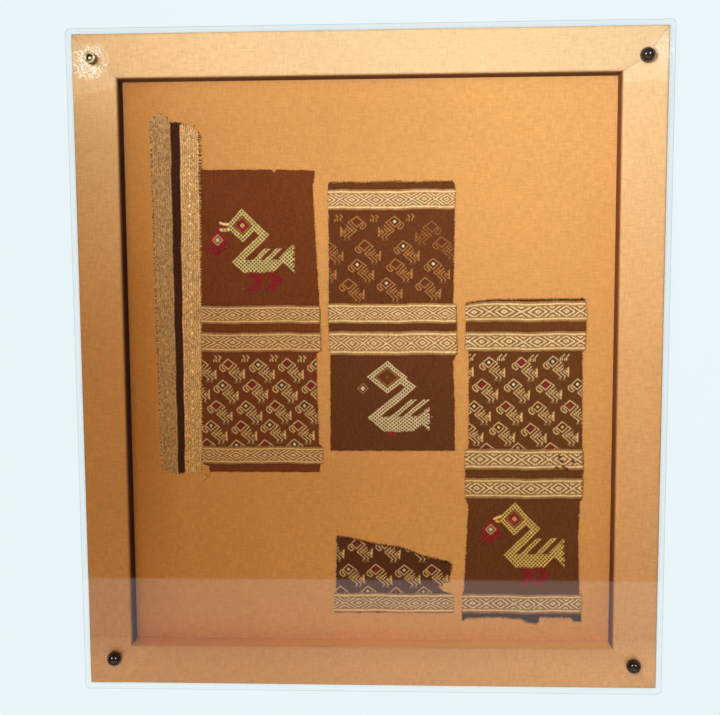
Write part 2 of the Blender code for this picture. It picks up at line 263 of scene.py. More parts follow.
def yarn_material(name, thread_x, thread_y):
    """Woven yarn: its colour is painted per float, with fibres, crossing threads and worn fuzz."""
    look = Shading(name)
    fibres = look.remap(look.noise(1500, detail=4.0), 0.74, 1.24)
    threads = look.remap(look.streaks((thread_x, thread_y, 1.0)), 0.80, 1.20)
    fade = look.remap(look.noise(45, detail=2.0), 0.92, 1.08)
    look.set(Base_Color=look.scale_colour(painted(look), look.product(fibres, threads, fade)),
             Sheen_Weight=0.05, Sheen_Roughness=0.6, Specular_IOR_Level=0.12,
             Roughness=look.remap(look.noise(700), 0.82, 0.98))
    look.bump(look.math("ADD", look.ribs(360, 0.8), look.noise(2600, detail=2.0)), 0.55, 0.00025)
    return look.material


def plain_weave_material(name, colour, streak=0.20, broad=0.025):
    """Stretched ochre cloth: fine crossing threads, uneven dye and a soft nap."""
    look = Shading(name)
    spreads = {(760, 120, 400): streak, (120, 760, 400): streak, (420, 30, 90): broad, (30, 420, 90): broad}
    threads = [look.remap(look.streaks(scale), 1 - spread, 1 + spread) for scale, spread in spreads.items()]
    dye = look.remap(look.noise(14), 0.95, 1.05)
    grain = look.remap(look.noise(1400), 0.93, 1.07)
    cloth = look.scale_colour(colour, look.product(*threads, dye, grain))
    look.set(Base_Color=look.scale_colour(painted(look), cloth),
             Sheen_Weight=0.02, Sheen_Roughness=0.5, Specular_IOR_Level=0.10,
             Roughness=look.remap(look.noise(300), 0.78, 0.95))
    look.bump(look.math("ADD", look.ribs(420, 0.5), look.noise(1800)), 0.35, 0.00018)
    return look.material


def wood_material():
    """Plain plywood: long grain with darker pores."""
    look = Shading("plywood")
    grain = look.streaks((420, 9, 60), detail=5.0)
    figure = look.streaks((60, 3, 20), detail=2.0)
    tone = look.product(look.remap(grain, 0.72, 1.2), look.remap(figure, 0.85, 1.12))
    look.set(Base_Color=look.scale_colour(PLYWOOD, tone), Roughness=look.remap(grain, 0.55, 0.8))
    look.bump(grain, 0.3, 0.0003)
    return look.material


def metal_material(name, colour, dark):
    """Turned brass with tarnish and small scratches."""
    look = Shading(name)
    tarnish = look.remap(look.noise(500, detail=4.0), 0.0, 1.0, 0.50, 0.80)
    look.set(Base_Color=look.mix(tarnish, colour, dark), Metallic=1.0,
             Roughness=look.remap(look.noise(900, detail=4.0), 0.40, 0.58))
    look.bump(look.noise(2200, detail=2.0), 0.12, 0.0001)
    return look.material


def moulded_material(name, colour, light, roughness, coat):
    """Dark moulded plastic with mottling and a skin that is a little uneven."""
    look = Shading(name)
    look.set(Base_Color=look.mix(look.noise(350), colour, light), Specular_IOR_Level=0.5,
             Coat_Weight=coat, Coat_Roughness=0.06,
             Roughness=look.remap(look.noise(600), roughness, roughness + 0.14))
    look.bump(look.noise(420, detail=2.0), 0.10, 0.0002)
    return look.material


def clear_material(name, tint, shine_range, scuffed=()):
    """Clear acrylic: what is behind shows through a thin shine, with scuffs and dust."""
    look = Shading(name)
    smears = look.noise(35, detail=4.0)
    polish = {"Color": (1.0, 1.0, 1.0), "Roughness": look.remap(smears, 0.01, 0.04, 0.3, 0.7)}
    through = look.add("ShaderNodeBsdfTransparent", {"Color": tint}).outputs["BSDF"]
    shine = look.add("ShaderNodeBsdfGlossy", polish).outputs["BSDF"]
    haze = look.add("ShaderNodeBsdfDiffuse", {"Color": (0.80, 0.82, 0.84)}).outputs["BSDF"]
    facing = look.add("ShaderNodeLayerWeight", {"Blend": 0.5}).outputs["Facing"]
    specks = look.remap(look.noise(1100, detail=2.0), 0.0, 0.3, 0.78, 0.88)
    dust = look.product(specks, look.remap(smears, 0.0, 0.10, 0.45, 0.8))
    surface = look.over(dust, through, haze)
    surface = look.over(look.remap(look.math("POWER", facing, 5.0), *shine_range), surface, shine)
    for scuff in scuffed:
        surface = add_scuffs(look, surface, *scuff)
    look.tree.nodes.remove(look.shader)
    look.feed(look.tree.nodes["Material Output"].inputs["Surface"], surface)
    return look.material


def add_scuffs(look, surface, place, reach, most):
    """Fine rubbed specks on the clear front that scatter the lamps' light round a corner fitting."""
    away = look.add("ShaderNodeVectorMath", {0: look.place, 1: place}, operation="DISTANCE").outputs["Value"]
    near = look.remap(away, 0.30, 0.0, reach * 0.2, reach)
    specks = look.remap(look.noise(620, roughness=0.7), 0.0, 1.0, 0.38, 0.66)
    grains = look.product(specks, look.remap(look.noise(110), 0.6, 1.35))
    share = look.remap(look.math("ADD", near, grains), 0.0, most, 0.70, 1.10)
    share = look.product(share, look.remap(away, 1.0, 0.0, reach * 0.6, reach))
    finish = {"Color": (1.0, 0.99, 0.97), "Roughness": 0.36}
    return look.over(share, surface, look.add("ShaderNodeBsdfGlossy", finish).outputs["BSDF"])


# Woven patterns

class Canvas:
    """The points of one woven piece, with the yarn's colour and rise at each."""

    def __init__(self, x, y, colour, rise):
        self.x = x
        self.y = y
        self.colour = np.tile(np.array(colour, dtype=float), (len(x), 1))
        self.rise = np.full(len(x), float(rise))

    def lay(self, cover, colour, rise, where=None):
        """Float a yarn over the points, as far as cover, from 0 to 1, says."""
        where = slice(None) if where is None else where
        share = np.clip(cover, 0, 1)
        self.colour[where] += share[:, None] * (np.array(colour) - self.colour[where])
        self.rise[where] += share * (rise - self.rise[where])

    def window(self, low, high):
        """The points inside a box, with a margin for soft edges."""
        margin = 2 * SOFT_EDGE
        inside = (self.x > low[0] - margin) & (self.x < high[0] + margin)
        inside &= (self.y > low[1] - margin) & (self.y < high[1] + margin)
        return np.nonzero(inside)[0]

    def stroke(self, points, half_width, colour, rise, fade=1.0):
        """A line of floats along a run of points."""
        points = np.array(points, dtype=float)
        where = self.window(points.min(0) - half_width, points.max(0) + half_width)
        x, y = self.x[where], self.y[where]
        distance = np.full(len(where), np.inf)
        for (x0, y0), (x1, y1) in zip(points[:-1], points[1:]):
            run_x, run_y = x1 - x0, y1 - y0
            share = ((x - x0) * run_x + (y - y0) * run_y) / max(run_x ** 2 + run_y ** 2, 1e-9)
            share = np.clip(share, 0, 1)
            distance = np.minimum(distance, np.hypot(x - x0 - share * run_x, y - y0 - share * run_y))
        shadow = np.clip((half_width + 0.9 - distance) / SOFT_EDGE, 0, 1) * SHADOW * fade
        self.lay(shadow, DARK_BROWN, rise * 0.3, where)
        self.lay(fade * (half_width - distance + SOFT_EDGE / 2) / SOFT_EDGE, colour, rise, where)

    def patch(self, corners, colour, rise, fade=1.0):
        """A filled shape with straight sides that bulge outward, by its corners."""
        corners = np.array(corners, dtype=float)
        where = self.window(corners.min(0), corners.max(0))
        turn = np.sign(cross(corners[1] - corners[0], corners[2] - corners[1]))
        inside = np.full(len(where), np.inf)
        for start, end in zip(corners, np.roll(corners, -1, axis=0)):
            along = (end - start) / math.dist(start, end)
            away = np.stack([self.x[where], self.y[where]], axis=1) - start
            inside = np.minimum(inside, turn * (along[0] * away[:, 1] - along[1] * away[:, 0]))
        self.lay(fade * fall(inside), colour, rise, where)

    def diamond(self, x, y, inner, outer, colour, rise, squash=1.0):
        """A diamond, or a ring of one, by its half width."""
        where = self.window((x - outer, y - outer), (x + outer, y + outer))
        reach = (np.abs(self.x[where] - x) + np.abs(self.y[where] - y) / squash)
        cover = np.minimum(outer - reach, reach - inner) / SOFT_EDGE / 1.4 + 0.5
        self.lay(cover, colour, rise, where)


def cross(first, second):
    """How far the second direction turns left of the first."""
    return first[0] * second[1] - first[1] * second[0]


def fall(distance):
    """Cover of a shape whose inner margin is given in millimetres."""
    return np.clip(distance / SOFT_EDGE + 0.5, 0, 1)


# Bands of nested diamonds: rim, line and groove are shares of the band's half height
RIB_PITCH = 1.75

BandStyle = namedtuple("BandStyle", "rim line groove rings cream tan shade")
Band = namedtuple("Band", "high low centres style")

# Step and start place the rings as shares of the half pitch, and lean spreads them across the band
Rings = namedtuple("Rings", "step start lean")


def diamond_rings(along, level, centres, rings):
    """1 on the rings about each centre and 0 on the lines between them."""
    centres = np.array(centres, dtype=float)
    beyond = np.arange(1, 4)
    before = centres[0] - (centres[1] - centres[0]) * beyond[::-1]
    after = centres[-1] + (centres[-1] - centres[-2]) * beyond
    marks = np.concatenate([before, centres, after])
    phase = np.interp(along, marks, np.arange(len(marks)))
    spread = 1 - np.abs(2 * (phase % 1) - 1) + rings.lean * level
    return np.clip(-0.04 + 1.25 * np.cos(2 * np.pi * (spread - rings.start) / rings.step), 0, 1)


def weave_band(canvas, along, across, band):
    """Tan ribbed rims, cream guard lines and nested diamonds between them."""
    style = band.style
    middle, half = (band.high + band.low) / 2, (band.high - band.low) / 2
    level = np.abs(across - middle) / half
    ribs = np.sin(2 * np.pi * along / RIB_PITCH)
    inside = fall(half * (1 - level) + 0.35 * ribs)
    canvas.lay(SHADOW * fall(half * (1 - level) + 1.0), DARK_BROWN, 0.1)
    canvas.lay(inside, style.tan, WEAVE_RISE * 0.75)
    canvas.lay(inside * (0.18 - 0.18 * ribs), style.shade, WEAVE_RISE * 0.6)
    guard = np.minimum(fall((style.rim - level) * half), fall((level - style.line) * half))
    twist = 0.84 + 0.16 * np.sin(2 * np.pi * (along + across * 0.8) / 2.1)
    canvas.lay(guard * twist, style.cream, WEAVE_RISE)
    groove = fall((style.line - level) * half)
    canvas.lay(groove, style.tan, WEAVE_RISE * 0.5)
    pattern = fall((style.groove - level) * half)
    canvas.lay(pattern * 0.70, style.shade, WEAVE_RISE * 0.4)
    rings = diamond_rings(along, level / style.groove, band.centres, style.rings)
    canvas.lay(rings * pattern, style.cream, WEAVE_RISE)


# The small bird, in millimetres from the middle of its head
SMALL_BIRD = [
    [(-4.8, -1.5), (-5.5, -2.8), (-2.8, -5.4), (-4.6, -6.8), (-7.2, -5.0), (-7.9, -3.2), (-7.4, -1.9),
     (-5.0, -0.1), (0.0, 4.4), (7.5, -1.2), (0.3, -7.6), (7.6, -13.8), (6.4, -14.9)],
    [(-5.0, -0.4), (-0.2, -4.8), (4.2, -0.6)],
    [(2.7, -6.5), (11.0, -13.5), (9.9, -14.9)],
    [(4.9, -5.4), (12.9, -12.2)],
    [(9.0, -3.5), (3.4, -8.6)],
    [(9.4, -6.0), (6.4, -9.2)],
]
BODY_DOTS = [(12.2, -7.4), (11.2, -9.4), (12.4, -10.9), (8.3, -8.7)]
SMALL_TAIL = [(14.2, -4.7), (9.0, -9.2), (14.2, -13.7)]
SMALL_FEET = [[(6.4, -14.9), (5.3, -16.4)], [(6.6, -15.0), (7.1, -16.7)], [(9.9, -14.9), (9.0, -16.5)],
              [(10.1, -15.0), (10.9, -16.6)]]
LEFT_OVER_FEET = [[(-2.6, 2.0), (-0.6, 0.2), (-2.4, -1.6)], [(1.0, 2.2), (3.0, 0.4), (1.0, -1.4)],
                  [(-3.2, -1.6), (-3.6, -3.2)], [(-1.2, -1.6), (-1.0, -3.2)], [(1.6, -1.4), (1.4, -3.0)]]
LEANING_FEET = [[(0.6, 2.7), (-2.6, -0.6)], [(4.6, 2.7), (1.4, -0.6)], [(-2.8, -0.9), (-3.2, -2.6)],
                [(-1.3, -0.7), (-1.3, -2.4)], [(1.0, -0.9), (0.8, -2.6)], [(2.4, -0.7), (2.5, -2.4)]]
BIRD_LINE = 0.43
EYES = {"red": RED, "white": WHITE_YARN, "gold": GOLD_CREAM}


def small_bird(canvas, x, y, yarn, eye, facing=1, fade=1.0):
    """A small woven bird: hooked beak, diamond head, striped body, wing and fan tail."""
    def place(run):
        return [(x + facing * dx, y + dy) for dx, dy in run]

    for run in SMALL_FEET:
        canvas.stroke(place(run), 0.3, yarn, WEAVE_RISE * 0.8, 0.6 * fade)
    for run in SMALL_BIRD:
        canvas.stroke(place(run), BIRD_LINE, yarn, WEAVE_RISE, fade)
    canvas.patch(place(SMALL_TAIL), yarn, WEAVE_RISE, fade)
    for dot in BODY_DOTS:
        canvas.diamond(*place([dot])[0], 0.0, 1.0, DARK_BROWN, 0.1)
    if eye in EYES:
        inner, outer = (0.0, 2.15) if eye == "red" else (0.25, 1.5)
        canvas.diamond(x, y - 0.2, 0.0, 3.0, DARK_BROWN, 0.15)
        canvas.diamond(x, y - 0.2, inner, outer, EYES[eye], WEAVE_RISE)


# One row of birds: the first one's place, how many there are, and the eyes they take in turn
FlockRow = namedtuple("FlockRow", "x y count eyes")


def flock(canvas, rows, pitch, yarn, seed, drift=0.45):
    """Rows of small birds at an even pitch, each a little out of place."""
    random = np.random.default_rng(seed)
    for row in rows:
        for index in range(row.count):
            shift_x, shift_y = random.uniform(-drift, drift, 2)
            eye = row.eyes[index % len(row.eyes)]
            small_bird(canvas, row.x + index * pitch + shift_x, row.y + shift_y, yarn, eye)


def left_over_feet(canvas, start, y, pitch, count, yarn, feet=LEFT_OVER_FEET):
    """Feet of a row of birds that the band above cuts off."""
    for index in range(count):
        for run in feet:
            points = [(start + index * pitch + dx, y + dy) for dx, dy in run]
            canvas.stroke(points, 0.48, yarn, WEAVE_RISE, 0.95)


# The large bird is charted in steps of the weave: a step right is i, a step up is j, and its
# edges run along rows of equal i + j or i - j, with a hole wherever a lattice point falls
BigBird = namedtuple("BigBird", "x y step_x step_y ring upper long front back belly rump wings wing_top "
                                "fan_high fan_low fan_end teeth yarn catch squeeze stride")

# What a large bird has caught, in the same steps: the fish's eye, the two halves of the beak, how
# thick the lower one is, and the holes in it
Catch = namedtuple("Catch", "eye upper lower thick holes")
NECK_STEP = -8
ROW_HALF = 1.45
HOLE_RADIUS = 0.93


def bird_margin(i, j, bird):
    """How far each point lies inside the bird's outline, in steps."""
    rising, falling = i + j, i - j
    ring = ROW_HALF - np.abs(np.abs(i) + np.abs(j) - bird.ring)
    upper = np.minimum(rising - bird.upper[0], bird.upper[1] - rising) + ROW_HALF
    upper = np.minimum(upper, np.minimum(falling - bird.ring, bird.long[1] + ROW_HALF - falling))
    neck = np.minimum(falling - bird.long[0], bird.long[1] - falling) + ROW_HALF
    neck = np.minimum(neck, np.minimum(rising - bird.front, bird.upper[1] - rising) + ROW_HALF)
    body = np.minimum(bird.back - j, j - bird.belly) * 1.3
    body = np.minimum(body, np.minimum(rising - bird.front, falling - bird.long[0]) + ROW_HALF)
    body = np.minimum(body, bird.rump + ROW_HALF - falling)
    notch = np.abs(((j - bird.teeth[0]) / bird.teeth[1]) % 1 - 0.5) * 2
    fan_end = bird.fan_end - 1.9 * np.clip(notch * 2.2 - 1.2, 0, 1)
    fan = np.minimum(np.minimum(falling - bird.fan_high, rising - bird.fan_low), (fan_end - i) * 1.4)
    margin = np.maximum.reduce([ring, upper, neck, body, fan])
    for row in bird.wings:
        reach = np.minimum(bird.wing_top - j, j - bird.back + 1) * 1.3
        margin = np.maximum(margin, np.minimum(ROW_HALF - np.abs(falling - row), reach))
    return margin


def big_bird(canvas, bird):
    """A large woven bird of cream floats with rows of small dark holes."""
    reach_x, reach_y = 30 * bird.step_x, 34 * bird.step_y
    where = canvas.window((bird.x - reach_x, bird.y - reach_y), (bird.x + reach_x, bird.y + reach_y))
    i = (canvas.x[where] - bird.x) / bird.step_x
    j = (canvas.y[where] - bird.y) / bird.step_y
    j = np.where(j < NECK_STEP, NECK_STEP + (j - NECK_STEP) / bird.squeeze, j)
    step = math.sqrt(bird.step_x * bird.step_y) / math.sqrt(2)
    cover = fall(bird_margin(i, j, bird) * step)
    canvas.lay(cover, bird.yarn, WEAVE_RISE * 1.15, where)
    rising = bird.ring + 2 * np.round((i + j - bird.ring) / 2)
    falling = bird.ring + 2 * np.round((i - j - bird.ring) / 2)
    away_x = (i - (rising + falling) / 2) * bird.step_x
    away_y = (j - (rising - falling) / 2) * bird.step_y * bird.squeeze
    holes = fall(HOLE_RADIUS - np.hypot(away_x, away_y))
    canvas.lay(holes * (cover > 0.6), DARK_BROWN, 0.05, where)
    head_patch(canvas, bird)
    if bird.catch:
        beak_and_fish(canvas, bird)
        legs(canvas, bird)


def head_patch(canvas, bird):
    """The diamond inside the head, with a red hook round a small eye on two of the birds."""
    squash = bird.step_y / bird.step_x
    rim = (bird.ring - 2.55) * bird.step_x
    canvas.diamond(bird.x, bird.y, rim - 0.75, rim + 0.25, TAN, WEAVE_RISE * 0.8, squash)
    if bird.catch:
        canvas.diamond(bird.x, bird.y, 2.6, 5.4, RED, WEAVE_RISE * 0.9, squash)
        canvas.stroke([(bird.x - 4.6, bird.y + 3.4), (bird.x - 1.4, bird.y + 1.9)], 0.5, B_BROWN, 0.1)
        canvas.diamond(bird.x, bird.y, 0.8, 2.1, BIRD_TAN, WEAVE_RISE, squash)
    else:
        canvas.diamond(bird.x, bird.y, 0.0, 1.9, LINE_BROWN, WEAVE_RISE * 0.5, squash)


def beak_and_fish(canvas, bird):
    """The open beak and the red fish hanging from it."""
    def at(i, j):
        return bird.x + i * bird.step_x, bird.y + j * bird.step_y

    eye_x, eye_y = at(*bird.catch.eye)
    canvas.stroke([(eye_x + 0.2, eye_y + 6.0), at(-12.0, 0.0), at(-8.4, -0.2)], 0.85, RED, WEAVE_RISE)
    canvas.stroke([at(*spot) for spot in bird.catch.upper], 1.0, bird.yarn, WEAVE_RISE)
    canvas.stroke([at(*spot) for spot in bird.catch.lower], bird.catch.thick, bird.yarn, WEAVE_RISE)
    for hole in bird.catch.holes:
        canvas.stroke([at(hole, -2.0), at(hole + 0.1, -2.0)], 0.4, DARK_BROWN, 0.1)
    for inner, outer, colour in ((5.3, 8.0, RED), (3.9, 4.8, BIRD_TAN), (0.5, 1.9, WHITE_YARN)):
        canvas.diamond(eye_x, eye_y, inner, outer, colour, WEAVE_RISE)
    for row in range(4):
        start = (eye_x - 4.4 + 2.2 * row, eye_y - 3.8 - 1.6 * row)
        canvas.stroke([start, (start[0] - 6.4 + row, start[1] - 4.8)], 0.72, RED, WEAVE_RISE)
    for row in range(5):
        x, y = eye_x - 3.4 + 2.2 * row, eye_y - 11.8 + 1.4 * row
        canvas.stroke([(x, y), (x + 4.4, y + 1.4), (x + 2.2, y + 3.8)], 0.66, RED, WEAVE_RISE)


def legs(canvas, bird):
    """Two red legs of three lines each, bent at the knee."""
    top = bird.y + (NECK_STEP + (bird.belly - NECK_STEP) * bird.squeeze) * bird.step_y
    for leg in (0, 1):
        for line in range(3):
            hip = bird.x + 5.6 + leg * bird.stride + line * 2.75
            knee = (hip + 7.0, top - 6.8)
            canvas.stroke([(hip, top - 0.4), knee, (hip - 0.6, top - 15.6)], 0.86, RED, WEAVE_RISE)
            for hole in np.arange(0.12, 1.0, 0.27):
                canvas.diamond(hip + hole * 7.0, top - 0.4 - 6.4 * hole, 0.0, 0.6, DARK_BROWN, 0.2)
                canvas.diamond(knee[0] - hole * 7.6, knee[1] - 8.8 * hole, 0.0, 0.6, DARK_BROWN, 0.2)


# Woven pieces: edges are given as x at a height y, or y at a place x

Outline = namedtuple("Outline", "left right top bottom fray")

OUTLINES = {
    "strip_a": Outline(
        left=[(-96.5, -181.5), (-94, -184.5), (-90.5, -185.3), (49.6, -187.1), (212, -188.4), (216, -187.9),
              (218, -187.2)],
        right=[(-96.5, -149.9), (-89.4, -149.3), (58, -147.5), (140, -146.4), (172, -146.1), (204.5, -147.0),
               (211, -160)],
        top=[(-188, 214.6), (-183.9, 216.9), (-179.5, 217.4), (-172.2, 214.3), (-171, 210.6),
             (-161.5, 209.8), (-153.6, 208.5), (-149.3, 206.8), (-147, 204.8)],
        bottom=[(-185, -91), (-181, -96.2), (-150, -96.2)],
        fray=0.7,
    ),
    "panel_b": Outline(
        left=[(-95, -142.0), (-89.5, -143.6), (-87.6, -149.0), (58, -147.2), (171, -145.9)],
        right=[(-95, -44.4), (-88.4, -44.2), (-87.2, -41.8), (-72.2, -41.7), (-70.5, -44.6), (-30.3, -45.8),
               (10.5, -46.4), (12.6, -42.5), (37, -42.9), (53.4, -43.4), (99.5, -45.7), (153.8, -48.3),
               (169, -46.2)],
        top=[(-146, 170.6), (-83.4, 170.4), (-81.5, 167.4), (-79.8, 170.3), (-46.2, 169.2)],
        bottom=[(-149, -94.6), (-42, -94.9)],
        fray=0.3,
    ),
    "panel_c": Outline(
        left=[(-75.5, -34.4), (5, -33.9), (36.5, -35.1), (95, -34.5), (157, -34.7)],
        right=[(-75.5, 75.0), (-30.4, 74.6), (3, 73.1), (11, 76.6), (53, 75.8), (54.6, 73.3), (134.6, 74.3),
               (151.8, 75.1), (157, 73.9)],
        top=[(-35, 157.4), (-30, 158.0), (-14, 158.5), (-3, 157.9), (23, 158.9), (36, 157.9), (62, 158.6),
             (75, 157.9)],
        bottom=[(-35, -75.5), (75, -75.3)],
        fray=0.3,
    ),
    "panel_d": Outline(
        left=[(-230.1, 82.3), (-205.2, 82.4), (-201, 83.9), (-124, 87.5), (-118.8, 84.6), (-75, 84.4),
              (-73.4, 87.4), (12.2, 87.1), (13.4, 83.9), (46, 84.5), (57, 84.6)],
        right=[(-229.6, 187.6), (-205, 187.3), (-203.5, 185.5), (-155, 183.7), (-121, 184.6),
               (-118.5, 186.8), (-92.3, 187.4), (-73.6, 186.1), (11.8, 185.1), (13.0, 187.9), (46, 188.7),
               (57.4, 187.0)],
        top=[(84, 54.0), (92, 55.4), (106.3, 56.9), (187.5, 57.3)],
        bottom=[(82, -228.6), (88, -226.2), (112, -225.4), (134, -226.6), (140, -229.6), (149.4, -231.0),
                (151, -225.0), (178, -225.2), (181.4, -228.6), (188, -229.2)],
        fray=0.3,
    ),
    "fragment_e": Outline(
        left=[(-222.6, -32.5), (-205.6, -32.4), (-204, -30.9), (-153, -29.9)],
        right=[(-222, 74.4), (-205.4, 74.6), (-204.2, 70.5), (-202.5, 64.0), (-199.5, 60.8), (-196.5, 63.5),
               (-193.6, 69.5), (-185.4, 71.2), (-176.9, 72.6)],
        top=[(-30, -153.2), (-13.7, -155.8), (4.5, -160.2), (27.6, -163.3), (49.8, -171.7), (60, -174.0),
             (72.6, -176.9)],
        bottom=[(-33, -222.6), (75, -222.2)],
        fray=0.4,
    ),
}


def limits(table, place, seed, fray):
    """Read an edge table, with the small unevenness of cut and worn yarn."""
    edge = np.interp(place, *zip(*table)) + slow_wave(place, seed, 17.0, fray)
    return edge + slow_wave(place, seed + 50, 3.6, fray * 0.7)


def lattice(outline, seed):
    """Points pulled in to the outline, by column and row, and the cells that keep their size."""
    low_x, high_x = min(x for _, x in outline.left), max(x for _, x in outline.right)
    low_y, high_y = min(y for _, y in outline.bottom), max(y for _, y in outline.top)
    xs, ys = np.arange(low_x - 1.5, high_x + 1.5, MESH_X), np.arange(low_y - 1.5, high_y + 1.5, MESH_Y)
    left = limits(outline.left, ys, seed, outline.fray)
    right = limits(outline.right, ys, seed + 1, outline.fray)
    top = limits(outline.top, xs, seed + 2, outline.fray)
    bottom = limits(outline.bottom, xs, seed + 3, outline.fray)
    grid_x, grid_y = np.meshgrid(xs, ys, indexing="ij")
    x = np.clip(grid_x, left[None, :], right[None, :])
    y = np.clip(grid_y, bottom[:, None], top[:, None])
    width = x[1:, :-1] + x[1:, 1:] - x[:-1, :-1] - x[:-1, 1:]
    height = y[:-1, 1:] + y[1:, 1:] - y[:-1, :-1] - y[1:, :-1]
    return x, y, (width > 0.5 * MESH_X) & (height > 0.5 * MESH_Y)


def float_tones(x, y, random, floats):
    """Lighter and darker floats; floats gives their width, length and spread of tone."""
    tones = random.normal(0, floats[2], (600, 600))
    column = np.floor((x - x.min()) / floats[0]).astype(int)
    shift = random.random(600)[column % 600]
    row = np.floor((y - y.min()) / floats[1] + shift).astype(int)
    return tones[column % 600, row % 600]


def woven_piece(name, outline, seed, ground, paint, material, floats):
    """A woven piece as a fine relief of yarn floats that lies on the ground cloth."""
    grid_x, grid_y, kept = lattice(outline, seed)
    column, row = np.nonzero(kept)
    rows = grid_x.shape[1]
    first = column * rows + row
    corners = np.stack([first, first + rows, first + rows + 1, first + 1], axis=1)
    flat_x, flat_y = grid_x.ravel(), grid_y.ravel()
    middle_x, middle_y = flat_x[corners].mean(1), flat_y[corners].mean(1)
    used, renamed = np.unique(corners, return_inverse=True)
    corners = renamed.reshape(corners.shape)
    x = np.concatenate([flat_x[used], middle_x])
    y = np.concatenate([flat_y[used], middle_y])
    canvas = Canvas(x + slow_wave(y, seed + 4, 60, 0.35), y + slow_wave(x, seed + 5, 70, 0.45), ground, 0.12)
    paint(canvas)
    random = np.random.default_rng(seed)
    jitter = random.normal(0, 0.05, len(x)) + float_tones(x, y, random, floats)
    canvas.colour *= np.clip(1 + jitter, 0.6, 1.4)[:, None]
    crown = np.where(np.arange(len(x)) < len(used), 0.0, 0.10)
    ripple = slow_wave(x, seed + 6, 75, 1.0) * slow_wave(y, seed + 7, 60, 1.0)
    z = PIECE_BASE + 0.35 + 0.5 * BUCKLE * (ripple + 1) + canvas.rise + crown
    z += random.normal(0, 0.02, len(x))
    centre = len(used) + np.arange(len(middle_x))
    following = np.roll(corners, -1, axis=1)
    faces = np.stack([corners, following, np.repeat(centre[:, None], 4, axis=1)], axis=2).reshape(-1, 3)
    skirted = add_skirt(np.stack([x, y, z], axis=1), canvas.colour, faces, corners, following)
    return add_mesh(name, *skirted[:2], [material], skirted[2])


def add_skirt(points, colours, faces, corners, following):
    """Turn the cut edge of a woven piece down to the ground cloth."""
    sides = list(zip(corners.ravel().tolist(), following.ravel().tolist()))
    seen = set(sides)
    border = [(a, b) for a, b in sides if (b, a) not in seen]
    rim = sorted({a for a, _ in border} | {b for _, b in border})
    below = {index: len(points) + order for order, index in enumerate(rim)}
    dropped = points[rim].copy()
    dropped[:, 2] = GROUND_TOP + 0.12
    walls = [wall for a, b in border for wall in ((b, a, below[a]), (b, below[a], below[b]))]
    # The turned-down edge takes the yarn's colour darkened as painted shade.
    colours = np.concatenate([colours, colours[rim] * SKIRT_SHADE])
    return np.concatenate([points, dropped]), faces.tolist() + walls, colours


# Loose yarn ends

def thread_mesh(name, runs, colours, radii, material):
    """Many short yarn ends as one mesh of thin three-sided tubes."""
    points, faces, paint = [], [], []
    for run, colour, radius in zip(runs, colours, radii):
        start, last = len(points), len(run) - 1
        for step, spot in enumerate(run):
            taper = radius * (1.0 if step < last else 0.45)
            heading = (Vector(run[min(step + 1, last)]) - Vector(run[max(step - 1, 0)])).normalized()
            upright = abs(heading.z) >= 0.95
            side = Vector((1, 0, 0)) if upright else heading.cross(Vector((0, 0, 1))).normalized()
            lift = side.cross(heading)
            for turn in range(3):
                angle = 2 * math.pi * turn / 3
                offset = side * math.cos(angle) * taper + lift * math.sin(angle) * taper
                points.append(Vector(spot) + offset)
        for step in range(last):
            for turn in range(3):
                a, b = start + 3 * step + turn, start + 3 * step + (turn + 1) % 3
                faces.append((a, b, b + 3, a + 3))
        tip = start + 3 * last
        faces += [(start + 2, start + 1, start), (tip, tip + 1, tip + 2)]
        paint += [colour] * 3 * len(run)
    return add_mesh(name, points, faces, [material], np.array(paint))


# Ends along one edge, from a low to a high place and one every few millimetres
Fray = namedtuple("Fray", "edge low high every length colour radius", defaults=[THREAD_RADIUS])
OUTWARD = {"left": (-1, 0), "right": (1, 0), "top": (0, 1), "bottom": (0, -1)}


def fray_runs(outline, frays, seed):
    """Short ends that stand out of the edges of a woven piece."""
    random = np.random.default_rng(seed)
    runs, colours, radii = [], [], []
    for fray in frays:
        table = getattr(outline, fray.edge)
        out_x, out_y = OUTWARD[fray.edge]
        for place in np.arange(fray.low, fray.high, fray.every):
            place = place + random.uniform(-0.5, 0.5) * fray.every
            value = float(np.interp(place, *zip(*table)))
            x, y = (value, place) if out_x else (place, value)
            length = fray.length * random.uniform(0.35, 1.0)
            bend, turn = random.uniform(-0.9, 0.9, 2)
            height = PIECE_BASE + random.uniform(0.3, 0.9)
            half = length * 0.5
            runs.append([
                (x - out_x * 0.8, y - out_y * 0.8, height),
                (x + out_x * half + out_y * bend * 0.4, y + out_y * half + out_x * bend * 0.4, height + 0.1),
                (x + out_x * length + turn * abs(out_y), y + out_y * length + turn * abs(out_x),
                 GROUND_TOP + 0.35)])
            radii.append(fray.radius * random.uniform(0.8, 1.3))
            shade = random.uniform(0.7, 1.25)
            colours.append(tuple(shade * value for value in fray.colour))
    return runs, colours, radii


# Painting of each piece

